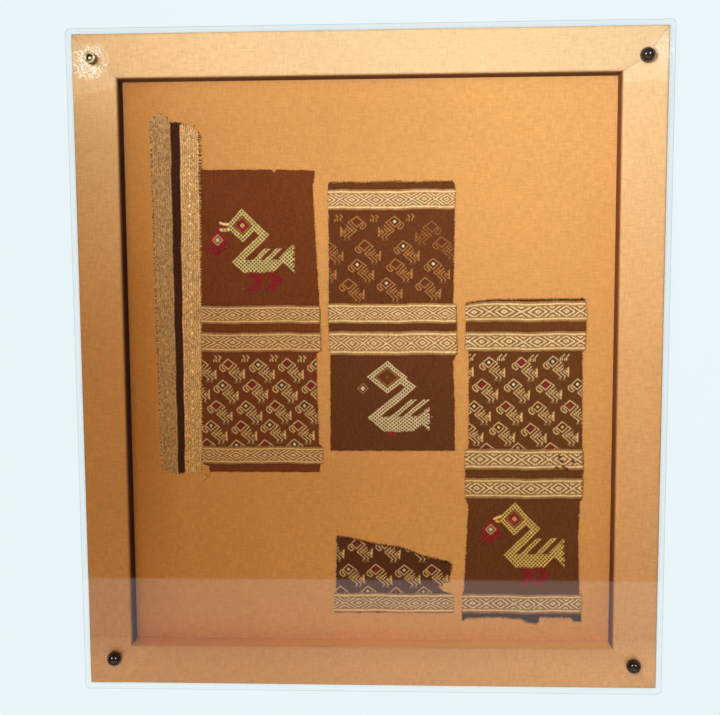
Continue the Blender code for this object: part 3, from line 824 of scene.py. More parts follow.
B_STYLE = BandStyle(0.80, 0.66, 0.56, Rings(0.36, 0.14, 0.66), CREAM, TAN, LINE_BROWN)
C_STYLE = BandStyle(0.82, 0.66, 0.57, Rings(0.40, 0.20, 0.80), PALE_CREAM, (0.52, 0.245, 0.070),
                    (0.33, 0.115, 0.026))
D_STYLE = BandStyle(0.79, 0.64, 0.50, Rings(0.41, 0.17, 0.56), PALE_CREAM, TAN, LINE_BROWN)
E_STYLE = BandStyle(0.84, 0.66, 0.54, Rings(0.38, 0.18, 0.72), PALE_CREAM, TAN, LINE_BROWN)
B_BANDS = [
    Band(52.9, 37.2, (-119.7, -93.3, -66.5), B_STYLE),
    Band(29.4, 12.5, (-119.9, -93.1, -65.6), B_STYLE),
    Band(-72.0, -87.4, (-143.0, -118.5, -93.2, -68.0), B_STYLE),
]
C_BANDS = [
    Band(152.6, 135.2, (-14.3, 6.5, 26.9, 48.3, 67.4), C_STYLE),
    Band(54.2, 36.9, (-14.9, 5.1, 25.5, 45.5, 66.7), C_STYLE),
    Band(30.0, 9.2, (-15.0, 4.0, 26.4, 46.4, 67.7), C_STYLE),
]
D_BANDS = [
    Band(55.6, 37.9, (91.5, 117.2, 146.9, 171.0), D_STYLE),
    Band(29.3, 12.3, (98.4, 122.1, 146.8, 171.4), D_STYLE),
    Band(-74.0, -92.3, (97.5, 121.9, 145.7, 169.9), D_STYLE),
    Band(-99.9, -118.0, (94.4, 117.7, 142.0, 166.3), D_STYLE),
    Band(-204.7, -222.0, (91.6, 116.2, 140.3, 162.8), D_STYLE),
]
E_BANDS = [Band(-204.6, -222.4, (-35.9, -10.4, 14.7, 40.4, 67.3), E_STYLE)]
STRIP_RINGS = Rings(0.40, 0.20, 1.0)
STRIP_CREAM = (1.0, 0.75, 0.36)
STRIP_GOLD = (1.0, 0.66, 0.28)
STRIP_PALE_TAN = (0.62, 0.32, 0.100)
STRIP_TAN = (0.44, 0.195, 0.050)
STRIP_PITCH = 8.6

CREAM_CATCH = Catch((-13.0, -7.2), ((-11.2, 1.5), (-9.6, 1.0), (-7.2, 0.9)),
                    ((-11.0, -1.9), (-9.4, -2.0), (-7.2, -1.8)), 1.25, (-9.9, -8.3))
GOLD_CATCH = Catch((-12.4, -5.6), ((-7.0, 1.4), (-10.6, -0.2)), ((-9.6, -1.3), (-8.0, -1.6)), 0.8, ())
BIRD_ONE = BigBird(-109.8, 122.6, 1.70, 1.70, 7, (5, 7), (15, 17), -23, -18.3, -25, 39, (25, 31), -12.3,
                   36, 1, 26.6, (-13.0, 3.3), BIRD_CREAM, CREAM_CATCH, 0.94, 15.8)
BIRD_TWO = BigBird(16.1, -10.1, 1.86, 1.50, 8, (4, 6), (16, 18), -32, -23.4, -32, 43, (26, 32), -13.6,
                   37.5, -12.2, 19.7, (-21.1, 3.7), PALE_CREAM, None, 1.0, 0)
BIRD_THREE = BigBird(128.0, -136.4, 1.68, 1.74, 7, (5, 7), (15, 17), -23, -18.3, -25.4, 39, (23, 31), -10.2,
                     36, 0.6, 26.2, (-13.0, 3.3), GOLD_CREAM, GOLD_CATCH, 0.99, 12.9)


def paint_strip(canvas):
    """Two cream stripes of fine lengthwise floats and low diamonds, either side of a dark stripe."""
    dark_left = np.interp(canvas.y, (-90, 58, 211), (-170.6, -171.0, -171.0))
    dark_right = np.interp(canvas.y, (-90, 58, 211), (-164.6, -164.0, -163.0))
    far_left = np.interp(canvas.y, (-90, 215), (-185.6, -188.2))
    far_right = np.interp(canvas.y, (-90, 58, 204), (-149.3, -147.4, -146.6))
    paint_stripe(canvas, far_left, dark_left, 31, STRIP_PALE_TAN, STRIP_CREAM)
    paint_stripe(canvas, dark_right, far_right, 37, STRIP_TAN, STRIP_GOLD)
    canvas.lay(fall(np.minimum(canvas.x - dark_left, dark_right - canvas.x)), DARK_BROWN, 0.1)


def paint_stripe(canvas, low, high, seed, tan, cream):
    """One cream stripe between its two edges."""
    half = (high - low) / 2
    aside = canvas.x - (low + high) / 2
    level = np.abs(aside) / half
    canvas.lay(fall(half * (1 - level)), tan, WEAVE_RISE * 0.6)
    drift = canvas.y + slow_wave(canvas.y, seed, 40, 1.6)
    places = np.arange(-100, 225, STRIP_PITCH)
    rings = diamond_rings(drift, level / 0.8, places, STRIP_RINGS)
    floats = 0.5 + 0.5 * np.cos(2 * np.pi * (aside / 1.75 + 0.12 * np.sin(canvas.y / 1.9)))
    grain = 0.5 + 0.5 * np.sin(2 * np.pi * (canvas.y / 3.1 + 0.5 * np.round(aside / 1.75)))
    cover = floats * (0.55 + 0.55 * grain) * (0.65 + 0.4 * rings) + 0.34 * rings + 0.05
    canvas.lay(np.clip(cover, 0, 1) * fall((0.78 - level) * half), cream, WEAVE_RISE)
    ticks = 0.5 + 0.5 * np.sin(2 * np.pi * canvas.y / 2.3)
    guard = np.minimum(fall((0.96 - level) * half), fall((level - 0.80) * half))
    canvas.lay(guard * (0.55 + 0.45 * ticks), cream, WEAVE_RISE)
    for place in places:
        canvas.lay(fall(0.9 - np.hypot(aside, 0.7 * (drift - place))), PALE_CREAM, WEAVE_RISE * 1.1)
    canvas.lay(SHADOW * fall((level - 0.97) * half), LINE_BROWN, 0.2)


def weave_bands(canvas, bands):
    """Bands that run straight across a piece."""
    for band in bands:
        weave_band(canvas, canvas.x, canvas.y, band)


def paint_b(canvas):
    """Three bands, a flock under the middle pair and the first large bird over it."""
    rows = [FlockRow(-149.9, 1.6, 5, ("white", "red")), FlockRow(-155.4, -16.8, 5, ("red", "white")),
            FlockRow(-135.2, -35.2, 4, ("red", "white")), FlockRow(-140.2, -52.8, 4, ("white", "red")),
            FlockRow(-144.8, -70.0, 4, ("red", "white"))]
    flock(canvas, rows, 25.9, BIRD_TAN, 41)
    left_over_feet(canvas, -133.4, 7.0, 25.0, 4, BIRD_TAN)
    weave_bands(canvas, B_BANDS)
    big_bird(canvas, BIRD_ONE)
    for x, y in ((-110.2, 70.5), (-109.6, 68.0)):
        canvas.stroke([(x, y), (x + 0.4, y)], 0.4, TAN, 0.3, 0.8)


def paint_c(canvas):
    """Three bands with worn small birds between them and the second large bird below."""
    small_bird(canvas, -10.0, 125.4, C_BIRD_TAN, "none", facing=-1)
    small_bird(canvas, 22.7, 125.6, C_BIRD_TAN, "white", facing=-1, fade=0.95)
    small_bird(canvas, 54.9, 120.4, C_BIRD_TAN, "none", facing=-1, fade=0.5)
    small_bird(canvas, 63.5, 107.5, C_BIRD_TAN, "none", fade=0.55)
    rows = [FlockRow(-36.0, 104.6, 3, ("white", "none")), FlockRow(-42.8, 88.6, 4, ("none", "white")),
            FlockRow(-17.8, 71.9, 3, ("none", "white"))]
    flock(canvas, rows, 33.0, C_BIRD_TAN, 43)
    left_over_feet(canvas, -25.6, 128.5, 31.0, 3, C_BIRD_TAN)
    weave_bands(canvas, C_BANDS)
    big_bird(canvas, BIRD_TWO)
    canvas.diamond(-5.4, -20.1, 4.0, 5.0, TAN, 0.3)
    canvas.diamond(-5.4, -20.1, 0.5, 2.0, WHITE_YARN, 0.35)
    canvas.stroke([(16.5, -60.0), (23.5, -60.3)], 0.9, RED, 0.3)


def paint_d(canvas):
    """Five bands, a flock between them and the third large bird, with a dark lower edge."""
    rows = [FlockRow(76.6, 3.0, 4, ("red", "white")), FlockRow(70.4, -16.8, 5, ("white", "red")),
            FlockRow(91.9, -35.7, 4, ("white", "red", "gold", "red")),
            FlockRow(85.2, -54.8, 4, ("red", "gold", "red", "gold")),
            FlockRow(74.6, -73.2, 4, ("gold", "red"))]
    flock(canvas, rows, 27.8, BIRD_TAN, 47)
    left_over_feet(canvas, 87.6, 6.6, 27.2, 4, BIRD_TAN, LEANING_FEET)
    sag = 2.2 * np.clip((99 - canvas.x) / 14, 0, 1) * np.clip((canvas.y - 38) / 14, 0, 1)
    weave_band(canvas, canvas.x, canvas.y + sag, D_BANDS[0])
    weave_bands(canvas, D_BANDS[1:])
    big_bird(canvas, BIRD_THREE)
    stains = ((166.2, -80.6), (168.0, -84.6), (169.6, -89.4), (172.4, -91.2), (177.6, -84.2), (164.2, -90.4))
    for x, y in stains:
        canvas.stroke([(x, y), (x + 1.5, y - 0.7)], 0.7, DARK_BROWN, 0.0)
    canvas.lay(fall(-223.4 - canvas.y), DARK_BROWN, 0.05)
    canvas.lay(0.4 * fall(canvas.y - 56.3), DARK_BROWN, 0.1)


def paint_e(canvas):
    """What is left of a flock over one band."""
    rows = [FlockRow(-36.6, -159.6, 4, ("none", "red")), FlockRow(-19.5, -182.8, 4, ("white", "red")),
            FlockRow(-27.0, -203.0, 4, ("none", "white", "red", "white"))]
    flock(canvas, rows, 25.0, BIRD_TAN, 53)
    weave_bands(canvas, E_BANDS)


Piece = namedtuple("Piece", "seed ground paint slot floats frays")

CREAM_FLOATS = (0.85, 1.75, 0.26)
BROWN_FLOATS = (0.85, 1.7, 0.085)

PIECES = {
    "strip_a": Piece(101, STRIP_TAN, paint_strip, "cream_weave", CREAM_FLOATS, [
        Fray("left", -88, 214, 2.1, 1.6, STRIP_CREAM, 0.30),
        Fray("left", -88, 214, 5.2, 1.9, DARK_BROWN, 0.36),
        Fray("right", 150, 203, 1.7, 3.6, (0.16, 0.035, 0.012), 0.30),
        Fray("right", -90, 204, 2.2, 1.8, STRIP_CREAM, 0.34),
        Fray("right", -90, 204, 6.1, 1.6, LINE_BROWN, 0.3),
        Fray("top", -187, -172, 0.9, 2.2, CREAM, 0.30), Fray("top", -171, -162, 0.8, 2.6, DARK_BROWN, 0.40),
        Fray("top", -161, -148, 1.1, 1.8, CREAM, 0.30), Fray("top", -186, -149, 4.5, 2.0, DARK_BROWN, 0.35),
        Fray("bottom", -180, -151, 1.6, 1.6, STRIP_CREAM, 0.3)]),
    "panel_b": Piece(211, B_BROWN, paint_b, "brown_weave", BROWN_FLOATS, [
        Fray("right", -94, 168, 2.6, 1.4, B_BROWN, 0.25), Fray("top", -144, -48, 2.2, 1.0, B_BROWN),
        Fray("bottom", -140, -44, 2.4, 0.9, B_BROWN), Fray("right", 12, 53, 1.6, 1.8, TAN, 0.28)]),
    "panel_c": Piece(321, C_BROWN, paint_c, "brown_weave", BROWN_FLOATS, [
        Fray("top", -34, 73, 0.8, 2.2, C_BROWN, 0.28), Fray("right", -74, 155, 2.6, 1.3, C_BROWN, 0.24),
        Fray("left", -74, 155, 2.8, 1.2, C_BROWN, 0.24), Fray("bottom", -33, 74, 1.6, 1.3, C_BROWN, 0.24),
        Fray("right", 10, 54, 1.6, 1.7, TAN, 0.28), Fray("left", 10, 54, 2.2, 1.5, TAN, 0.26)]),
    "panel_d": Piece(431, D_BROWN, paint_d, "brown_weave", BROWN_FLOATS, [
        Fray("top", 88, 186, 1.1, 1.6, DARK_BROWN, 0.30), Fray("right", -228, 56, 2.6, 1.5, D_BROWN, 0.26),
        Fray("left", -228, 56, 2.6, 1.3, D_BROWN, 0.26), Fray("bottom", 83, 187, 1.0, 2.2, DARK_BROWN, 0.26),
        Fray("right", -92, -74, 1.2, 2.0, TAN, 0.3), Fray("right", -119, -100, 1.6, 1.6, TAN, 0.3)]),
    "fragment_e": Piece(541, E_BROWN, paint_e, "brown_weave", BROWN_FLOATS, [
        Fray("top", -29, 71, 0.9, 2.2, DARK_BROWN, 0.30), Fray("left", -203, -154, 1.8, 1.6, CREAM, 0.30),
        Fray("right", -203, -178, 1.1, 2.2, DARK_BROWN, 0.28),
        Fray("bottom", -32, 74, 1.8, 1.2, TAN, 0.26)]),
}

# Two longer threads hang out of the strip's lower right corner
STRAY_THREADS = {
    "strip_a": [[(-146.8, -96.0, 8.6), (-144.6, -99.2, 7.8), (-146.0, -101.6, 7.8), (-149.4, -103.0, 7.8)],
                [(-143.2, -95.2, 8.4), (-142.0, -98.0, 7.8), (-144.2, -99.8, 7.8)]],
}


def make_cloth_pieces():
    """The five woven pieces, each with the loose ends along its edges."""
    yarn = yarn_material("old_yarn", 700, 90)
    for name, (seed, ground, paint, slot, floats, frays) in PIECES.items():
        outline = OUTLINES[name]
        piece = woven_piece(name + "_weave", outline, seed, ground, paint, yarn, floats)
        declare(piece, slot, name)
        runs, colours, radii = fray_runs(outline, frays, seed)
        strays = STRAY_THREADS.get(name, [])
        colours += [LINE_BROWN] * len(strays)
        radii += [STRAY_RADIUS] * len(strays)
        ends = thread_mesh(name + "_loose_ends", runs + strays, colours, radii, yarn)
        declare(ends, slot)


def painted_ground_light(x, y):
    """Painted light and shade on the ground's red, green and blue: paler at the upper right and the lower
    middle, darker at the left and the top middle.
    """
    low = np.clip((-y - 100) / 80, 0, 1) * np.clip(1.3 - abs(x) / 150, 0, 1)
    top = np.clip((y - 140) / 60, 0, 1) * np.clip(1.2 - abs(x + 10) / 140, 0, 1)
    pale = np.clip(x / 250, 0, 1) * np.clip((y - 40) / 190, 0, 1)
    deep = np.clip((-x - 165) / 35, 0, 1) * np.interp(y, (-215, -60, 60, 215), (0.4, 1.0, 1.0, 0.5))
    tone = 1 + pale * np.array((0.02, 0.10, 0.27)) - deep * np.array((0.21, 0.30, 0.47))
    return tone + low * np.array((0.08, 0.13, 0.15)) - 0.08 * top


def ground_run(half):
    """Places and heights from one turned-down edge of the ground cloth to the other."""
    edge = [(half, CLOTH_FOOT), (half, GROUND_TOP - 1.0), (half - 0.3, GROUND_TOP - 0.3)]
    side = edge + [(place, GROUND_TOP) for place in np.linspace(half - 1.0, 0, 50)]
    return [(-place, height) for place, height in side] + side[-2::-1]


def make_ground_cloth(material):
    """Ochre cloth over the board, turned down its four edges."""
    across, down = ground_run(OUTER_X), ground_run(OUTER_Y)
    points, tones = [], []
    for x, x_height in across:
        for y, y_height in down:
            height = min(x_height, y_height)
            if height == GROUND_TOP:
                height += 0.035 * math.sin(x / 23) * math.sin(y / 31)
            points.append((x, y, height))
            # The point colours carry the ground's painted light and shade.
            tones.append(painted_ground_light(x, y))
    faces = grid_faces(len(across), len(down))
    cloth = add_mesh("ground_cloth_stretched", points, faces, [material], np.array(tones))
    declare(cloth, "ground_cloth", "ground_cloth")


# Rails: each is followed from its first corner to its last, and distance is counted inward

RailPath = namedtuple("RailPath", "node first last along inward folds")
RAIL_PATHS = [
    RailPath("rail_top", "top_left", "top_right", (1, 0), (0, -1), (None, None)),
    RailPath("rail_right", "top_right", "bottom_right", (0, -1), (-1, 0), ((45.0, 46.0), (43.5, 43.5))),
    RailPath("rail_bottom", "bottom_right", "bottom_left", (-1, 0), (0, 1), (None, (28.5, 60.5))),
    RailPath("rail_left", "bottom_left", "top_left", (0, 1), (1, 0), ((43.5, 43.5), (52.0, 45.5))),
]


def rail_corner(name):
    """A corner of the ground cloth's face, seen from above."""
    side_y, side_x = name.split("_")
    return Vector((OUTER_X if side_x == "right" else -OUTER_X, OUTER_Y if side_y == "top" else -OUTER_Y))


def rail_width(node):
    """How wide a rail is across its length."""
    low, high = node_box(node)
    return min(high[0] - low[0], high[1] - low[1])


def neighbour_width(node, corner):
    """Width of the rail that shares a corner with this one."""
    side_y, side_x = corner.split("_")
    return rail_width("rail_" + (side_x if node in ("rail_top", "rail_bottom") else side_y))


def mitre_line(path, corner, from_end):
    """Distance along the rail at which its mitre lies, for a distance inward."""
    screw = Vector(node_centre("screw_" + corner)) - rail_corner(corner)
    heading = Vector(path.along) * (-1 if from_end else 1)
    screw_along, screw_in = screw.dot(heading), screw.dot(Vector(path.inward))
    width, reach = rail_width(path.node), neighbour_width(path.node, corner)
    return lambda inward: np.interp(inward, (0, screw_in, width), (0, screw_along, reach)) + 0.1


def rail_profile(width):
    """Inward distance and height from the outer foot over the top to the inner foot."""
    radius = RAIL_RADIUS
    rise = [(0.0, height) for height in np.linspace(RAIL_BASE, RAIL_TOP - radius, 4)]
    turn = [(radius - radius * math.cos(angle), RAIL_TOP - radius + radius * math.sin(angle))
            for angle in np.linspace(0, math.pi / 2, 6)[1:-1]]
    top = [(place, RAIL_TOP) for place in np.linspace(radius, width - radius, 22)]
    mirrored = [(width - place, height) for place, height in reversed(rise + turn)]
    return rise + turn + top + mirrored


# Painted shade on the top, left and right inner walls and painted light on the bottom one, as shares of red,
# green and blue
PAINTED_WALL_TONES = {
    "rail_top": (0.18, 0.10, 0.035),
    "rail_right": (0.27, 0.13, 0.03),
    "rail_bottom": (1.55, 1.65, 0.85),
    "rail_left": (0.07, 0.03, 0.006),
}


def painted_wall_shading(node, width, place, height):
    """Painted light and shade on a rail's inner side below its rounded edge: darker on the top, left and
    right walls, lighter on the bottom wall.
    """
    down = np.clip((RAIL_TOP - height) / 3.0, 0, 1) * (place > width / 2)
    return 1 - down * (1 - np.array(PAINTED_WALL_TONES[node]))


# Painted light and shade on the wrap along the panel's height: darker through the middle, paler and cooler
# towards the top, paler at the bottom edge
RAIL_LIGHT_HEIGHTS = (-268, -240, 0, 190, 250)
RAIL_LIGHT_TONES = ((1.06, 1.02, 0.94), (0.90, 0.83, 0.74), (0.90, 0.83, 0.72), (0.96, 1.03, 1.06),
              (0.93, 1.09, 1.27))
FOLD_TONE = (1.05, 1.10, 1.18)


def painted_rail_light(x, y):
    """Painted light and shade on the wrap's red, green and blue at a place: darker at the left, paler at the
    upper left.
    """
    left = np.clip(-x / 240, 0, 1) * np.clip((220 - y) / 200, 0, 1)
    upper_left = np.clip((-x - 40) / 140, 0, 1) * np.clip((y - 190) / 50, 0, 1)
    tones = [np.interp(y, RAIL_LIGHT_HEIGHTS, [row[channel] for row in RAIL_LIGHT_TONES]) for channel in range(3)]
    return np.array(tones) * (1 - left * np.array((0.04, 0.08, 0.14)) + 0.20 * upper_left)


def fold_line(fold, near_start, shift, width, length):
    """Distance along the rail at which one side of a fold's step lies, for a distance inward."""
    def line(inward):
        place = np.interp(inward, (0, width), fold)
        return (place if near_start else length - place) + shift
    return line


def rail_stations(lines, inward):
    """Rows of points across a rail, evenly spread between the lines that it has to follow."""
    stations = []
    for before, after in zip(lines[:-1], lines[1:]):
        here, there = before(inward), after(inward)
        steps = max(2, int(np.abs(there - here).max() / 5.0))
        stations += [here + (there - here) * step / steps for step in range(steps)]
    return stations + [lines[-1](inward)]


def make_rail(path, material):
    """One rail of wood wrapped in ochre cloth, folded over itself near some corners."""
    width = rail_width(path.node)
    start, finish = rail_corner(path.first), rail_corner(path.last)
    length = (finish - start).length
    first_mitre, last_mitre = mitre_line(path, path.first, False), mitre_line(path, path.last, True)
    folds = [(near_start, shift, fold_line(fold, near_start, shift, width, length))
             for fold, near_start in zip(path.folds, (True, False)) if fold for shift in (-0.5, 0.5)]
    lines = [first_mitre, *(line for _, _, line in folds), lambda inward: length - last_mitre(inward)]

    def folded_over(along, inward):
        past = [line(inward) - along if near_start else along - line(inward)
                for near_start, shift, line in folds if near_start == (shift < 0)]
        return any(distance >= -1e-6 for distance in past)

    profile = rail_profile(width)
    points, shades = [], []
    stations = rail_stations(lines, np.array([place for place, _ in profile]))
    for station in stations:
        for along, (place, height) in zip(station, profile):
            raised = folded_over(along, place)
            edge = max(min(along - first_mitre(place), length - last_mitre(place) - along), 0)
            lift = (FOLD_RISE if raised and place > 0 else 0.0) - 0.3 * math.exp(-edge / 0.9)
            if height == RAIL_TOP:
                lift += 0.10 * math.sin(along / 37 + place / 6) * math.sin(along / 91 + 1.3)
            spot = start + Vector(path.along) * float(along) + Vector(path.inward) * float(place)
            points.append((*spot, height + (lift if height > RAIL_BASE + 1 else 0.0)))
            # The point colours carry painted light and shade: the inner walls' shading and the light along
            # the panel.
            shade = painted_wall_shading(path.node, width, place, height) * painted_rail_light(*spot)
            shades.append(shade * np.array(FOLD_TONE) if raised else shade)
    faces = grid_faces(len(stations), len(profile))
    if Vector(path.along).cross(Vector(path.inward)) <= 0:
        faces = [face[::-1] for face in faces]
    wrap = add_mesh(path.node + "_wrap", points, faces, [material], np.array(shades))
    declare(wrap, "rail_cloth", path.node)


# Clear cover

def rounded_rectangle(half_x, half_y, radius, steps=6):
    """Points round a rectangle with rounded corners."""
    points = []
    for corner, (side_x, side_y) in enumerate(((1, 1), (-1, 1), (-1, -1), (1, -1))):
        for step in range(steps + 1):
            angle = math.pi / 2 * (corner + step / steps)
            points.append((side_x * (half_x - radius) + radius * math.cos(angle),
                           side_y * (half_y - radius) + radius * math.sin(angle)))
    return points


def make_cover(face_material, edge_material, rim_material):
    """The box cover: a front sheet and four sides glued into one clear shell."""
    half_x, half_y = node_box("cover_front")[1][:2]
    inside = COVER_CORNER - 2.0
    # How far each loop lies inside the cover's outline, its corner radius and its height
    loops = [
        (0.4, COVER_CORNER, 0.0),
        (0.0, COVER_CORNER, 0.4),
        (0.0, COVER_CORNER, COVER_TOP - COVER_BEVEL),
        (0.15, COVER_CORNER, COVER_TOP - 0.15),
        (COVER_BEVEL, COVER_CORNER, COVER_TOP),
        (COVER_SHEET, inside, COVER_TOP),
        (COVER_SHEET, inside, 0.0),
        (COVER_SHEET, inside, COVER_TOP - COVER_SHEET),
    ]
    points, faces, picks = [], [], []
    for inset, radius, height in loops:
        points += [(x, y, height) for x, y in rounded_rectangle(half_x - inset, half_y - inset, radius)]
    count = len(points) // len(loops)
    rings = [range(count * order, count * (order + 1)) for order in range(len(loops))]
    # The loops that each wall joins, and its material
    for lower, upper, pick in ((0, 1, 2), (1, 2, 1), (2, 3, 2), (3, 4, 2), (4, 5, 0), (6, 0, 1), (7, 6, 1)):
        low, high = rings[lower], rings[upper]
        faces += zip(low, [*low[1:], low[0]], [*high[1:], high[0]], high)
        picks += [pick] * count
    faces += [tuple(rings[5]), tuple(reversed(rings[7]))]
    picks += [0, 0]
    materials = [face_material, edge_material, rim_material]
    cover = add_mesh("clear_cover", points, faces, materials, smooth=False, picks=picks)
    for corner in CORNERS:
        drill(cover, node_centre("screw_" + corner))
    bake_modifiers(cover)
    declare(cover, "clear_acrylic", "cover_front", "cover_left", "cover_right", "cover_top", "cover_bottom")


def drill(piece, centre):
    """Open a screw hole through the front sheet."""
    steps = 24
    points = [spot for height in (COVER_TOP - 5.0, COVER_TOP + 2.0)
              for spot in circle(centre, SCREW_HOLE, height, steps)]
    faces = [(step, (step + 1) % steps, steps + (step + 1) % steps, steps + step) for step in range(steps)]
    faces += [tuple(reversed(range(steps))), tuple(range(steps, 2 * steps))]
    cutter = add_mesh("drill", points, faces, [piece.data.materials[1]], smooth=False)
    modifier = piece.modifiers.new("hole", "BOOLEAN")
    modifier.object = cutter
    modifier.solver = "EXACT"
    modifier.material_mode = "TRANSFER"


def bake_modifiers(piece):
    """Apply a piece's modifiers and remove the cutters they used."""
    cutters = [modifier.object for modifier in piece.modifiers if modifier.type == "BOOLEAN"]
    evaluated = piece.evaluated_get(bpy.context.evaluated_depsgraph_get())
    mesh = bpy.data.meshes.new_from_object(evaluated)
    piece.modifiers.clear()
    piece.data = mesh
    for cutter in cutters:
        bpy.data.objects.remove(cutter)


# Fittings

BORE = 2.7
THREAD_PITCH = 0.8
SHARP_ANGLE = 35


def revolve(node, suffix, slot, material, profile, segments=48):
    """Turn a profile of radius and height about a round node's axis, closed where it misses the axis."""
    centre = node_centre(node)
    points, rings = [], []
    for radius, height in profile:
        if radius == 0:
            rings.append([len(points)] * segments)
            points.append((*centre, height))
        else:
            rings.append(list(range(len(points), len(points) + segments)))
            points += circle(centre, radius, height, segments)
    pairs = list(zip(rings, rings[1:]))
    if profile[0][0] != 0:
        pairs.append((rings[-1], rings[0]))
    faces = []
    for lower, upper in pairs:
        for step in range(segments):
            following = (step + 1) % segments
            loop = (lower[step], lower[following], upper[following], upper[step])
            faces.append(tuple(dict.fromkeys(loop)))
    piece = add_mesh(f"{node}_{suffix}", points, faces, [material])
    piece.data.set_sharp_from_angle(angle=math.radians(SHARP_ANGLE))
    declare(piece, slot, node)


def round_size(node):
    """Radius, base and top of a round frame node."""
    low, high = node_box(node)
    return (high[0] - low[0]) / 2, low[2], high[2]


def make_caps(material):
    """Domed caps, hollow about the screw."""
    for corner in CORNERS[1:]:
        node = "cap_" + corner
        radius, base, top = round_size(node)
        shoulder = base + 0.9
        profile = [(0.0, top - 2.0), (BORE, top - 2.0), (BORE, base), (radius - 0.3, base),
                   (radius, base + 0.3)]
        profile += [(radius * math.cos(angle), shoulder + (top - shoulder) * math.sin(angle))
                    for angle in np.linspace(0, math.pi / 2, 15)[:-1]]
        revolve(node, "dome", "dark_cap", material, profile + [(0.0, top)])


def make_open_fitting(brass, black):
    """The corner without a cap: a brass ring on a black collar about the screw."""
    radius, base, top = round_size("collar_top_left")
    profile = [(BORE, base), (radius - 0.3, base), (radius, base + 0.3), (radius, top - 0.5),
               (radius - 0.5, top), (2.9, top)]
    revolve("collar_top_left", "sleeve", "black_collar", black, profile)
    radius, base, top = round_size("ring_top_left")
    profile = [(BORE, base), (radius - 0.3, base), (radius, base + 0.35), (radius - 0.15, top - 0.3),
               (radius - 0.7, top), (3.4, top - 0.1), (2.8, top - 0.5)]
    revolve("ring_top_left", "washer", "brass_fitting", brass, profile)


def make_screws(brass):
    """Threaded shanks with a rounded tip."""
    for corner in CORNERS:
        node = "screw_" + corner
        radius, base, top = round_size(node)
        profile = [(0.0, base)]
        height = base + 0.1
        while height < top - 1.2:
            profile += [(radius, height), (radius, height + 0.2), (radius - 0.35, height + 0.5)]
            height += THREAD_PITCH
        profile += [(radius - 0.2, top - 0.9), (radius - 0.7, top - 0.3), (radius - 1.3, top), (0.0, top)]
        revolve(node, "shank", "brass_fitting", brass, profile, segments=28)


# Stage, lights and camera

FLOOR_GLOW = (0.80, 0.90, 0.93)
VEIL_EDGE = -0.523


def make_floor():
    """A plain pale floor, lit evenly."""
    look = Shading("pale_floor")
    look.set(Base_Color=(0.02, 0.02, 0.02), Roughness=0.9, Specular_IOR_Level=0.0,
             Emission_Color=FLOOR_GLOW, Emission_Strength=1.0)
    size = 4000
    corners = [(x * size, y * size, -0.3) for x, y in ((-1, -1), (1, -1), (1, 1), (-1, 1))]
    floor = add_mesh("floor", corners, [(0, 1, 2, 3)], [look.material], smooth=False)


def add_lamp(name, kind, place, target, **settings):
    """A lamp out of the camera's sight, aimed at a target."""
    light = bpy.data.lights.new(name, kind)
    for key, value in settings.items():
        setattr(light, key, value)
    lamp = bpy.data.objects.new(name, light)
    lamp.location = place
    lamp.rotation_euler = (Vector(target) - Vector(place)).to_track_quat("-Z", "Y").to_euler()
    lamp.visible_camera = False
    bpy.context.collection.objects.link(lamp)
    return lamp


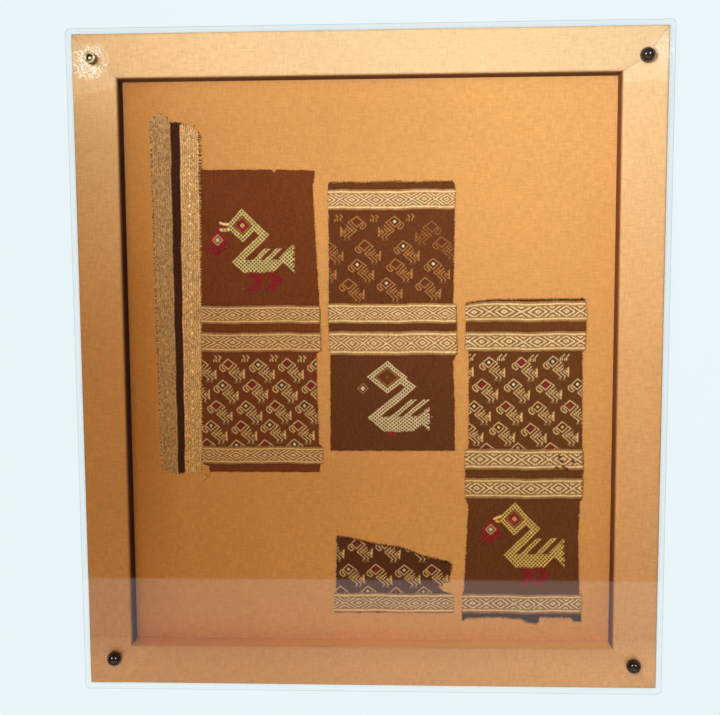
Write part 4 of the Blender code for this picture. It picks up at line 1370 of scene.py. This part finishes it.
def make_lights():
    """A soft lamp over the top left, a broad warm fill overhead, two glints and a pale card."""
    world = bpy.data.worlds.new("dim_room")
    world.use_nodes = True
    world.node_tree.nodes["Background"].inputs["Color"].default_value = (0.018, 0.017, 0.016, 1.0)
    bpy.context.scene.world = world
    key = add_lamp("key", "SPOT", (-0.145, 0.198, 0.683), (1.056, 0.947, 0.01), energy=42.5, spot_size=3.0,
                   spot_blend=1.0, shadow_soft_size=0.10, color=(0.69, 0.80, 1.0))
    key.visible_glossy = False
    fill = add_lamp("fill", "AREA", (-0.125, 0.181, 1.6), (-0.125, 0.181, 0.0), size=1.4, energy=15.6,
                    color=(1.0, 0.66, 0.29))
    fill.visible_glossy = False
    for name, place in (("glint_left", (-0.93, 0.62, 1.5)), ("glint_right", (0.86, 0.62, 1.5))):
        glint = add_lamp(name, "AREA", place, (0.0, 0.0, 0.0), shape="DISK", size=0.10, energy=12.0)
        glint.visible_diffuse = False
    middle = VEIL_EDGE - 0.7
    add_lamp("veil", "AREA", (0.0, middle, COVER_TOP * MM + 1.0), (0.0, middle, 0.0), shape="RECTANGLE",
             size=2.6, size_y=1.4, energy=8.8, color=(0.9, 0.95, 1.0))


def make_camera():
    """The photograph's view: just above the panel's middle, nearly square on."""
    camera = bpy.data.cameras.new("camera")
    camera.sensor_width = SENSOR_WIDTH
    camera.lens = SENSOR_WIDTH * FOCAL_PIXELS / IMAGE_WIDTH
    eye = bpy.data.objects.new("camera", camera)
    turns = [Matrix.Rotation(math.radians(tilt), 3, axis) for tilt, axis in zip(CAMERA_TILT, "XYZ")]
    turn = turns[0] @ turns[1] @ turns[2]
    eye.matrix_world = Matrix.Translation(Vector(CAMERA_PLACE) * MM) @ turn.transposed().to_4x4()
    bpy.context.collection.objects.link(eye)
    bpy.context.scene.camera = eye


def main():
    """The whole scene, round the frame that was loaded."""
    bpy.context.scene.view_settings.view_transform = "Standard"
    bpy.context.scene.view_settings.look = "None"
    make_camera()
    make_floor()
    make_lights()
    make_ground_cloth(plain_weave_material("ochre_ground", GROUND_COLOUR))
    # The wrap's colour carries a painted sheen.
    wrap = plain_weave_material("ochre_wrap", RAIL_SHEEN_COLOUR)
    for path in RAIL_PATHS:
        make_rail(path, wrap)
    make_cloth_pieces()
    scuffs = [((*SCUFF_LEFT, COVER_TOP * MM), 0.020, 0.19), ((*SCUFF_RIGHT, COVER_TOP * MM), 0.018, 0.05)]
    # The rim's grey tint is painted shade: it stands for the darker look of light bent through the cover's
    # bevelled edges.
    make_cover(clear_material("clear_face", (0.985, 0.99, 0.99), (0.04, 1.0), scuffs),
               clear_material("clear_edge", (0.996, 0.998, 1.0), (0.01, 0.18)),
               clear_material("clear_rim", (0.60, 0.61, 0.64), (0.05, 0.5)))
    brass = metal_material("old_brass", (0.95, 0.80, 0.46), (0.42, 0.30, 0.13))
    black = moulded_material("black_sleeve", (0.006, 0.006, 0.006), (0.02, 0.018, 0.016), 0.3, 0.1)
    make_caps(moulded_material("dark_cap", (0.016, 0.008, 0.005), (0.040, 0.018, 0.010), 0.20, 0.4))
    make_open_fitting(brass, black)
    make_screws(brass)
    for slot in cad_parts["backing_board"].material_slots:
        slot.material = wood_material()


main()
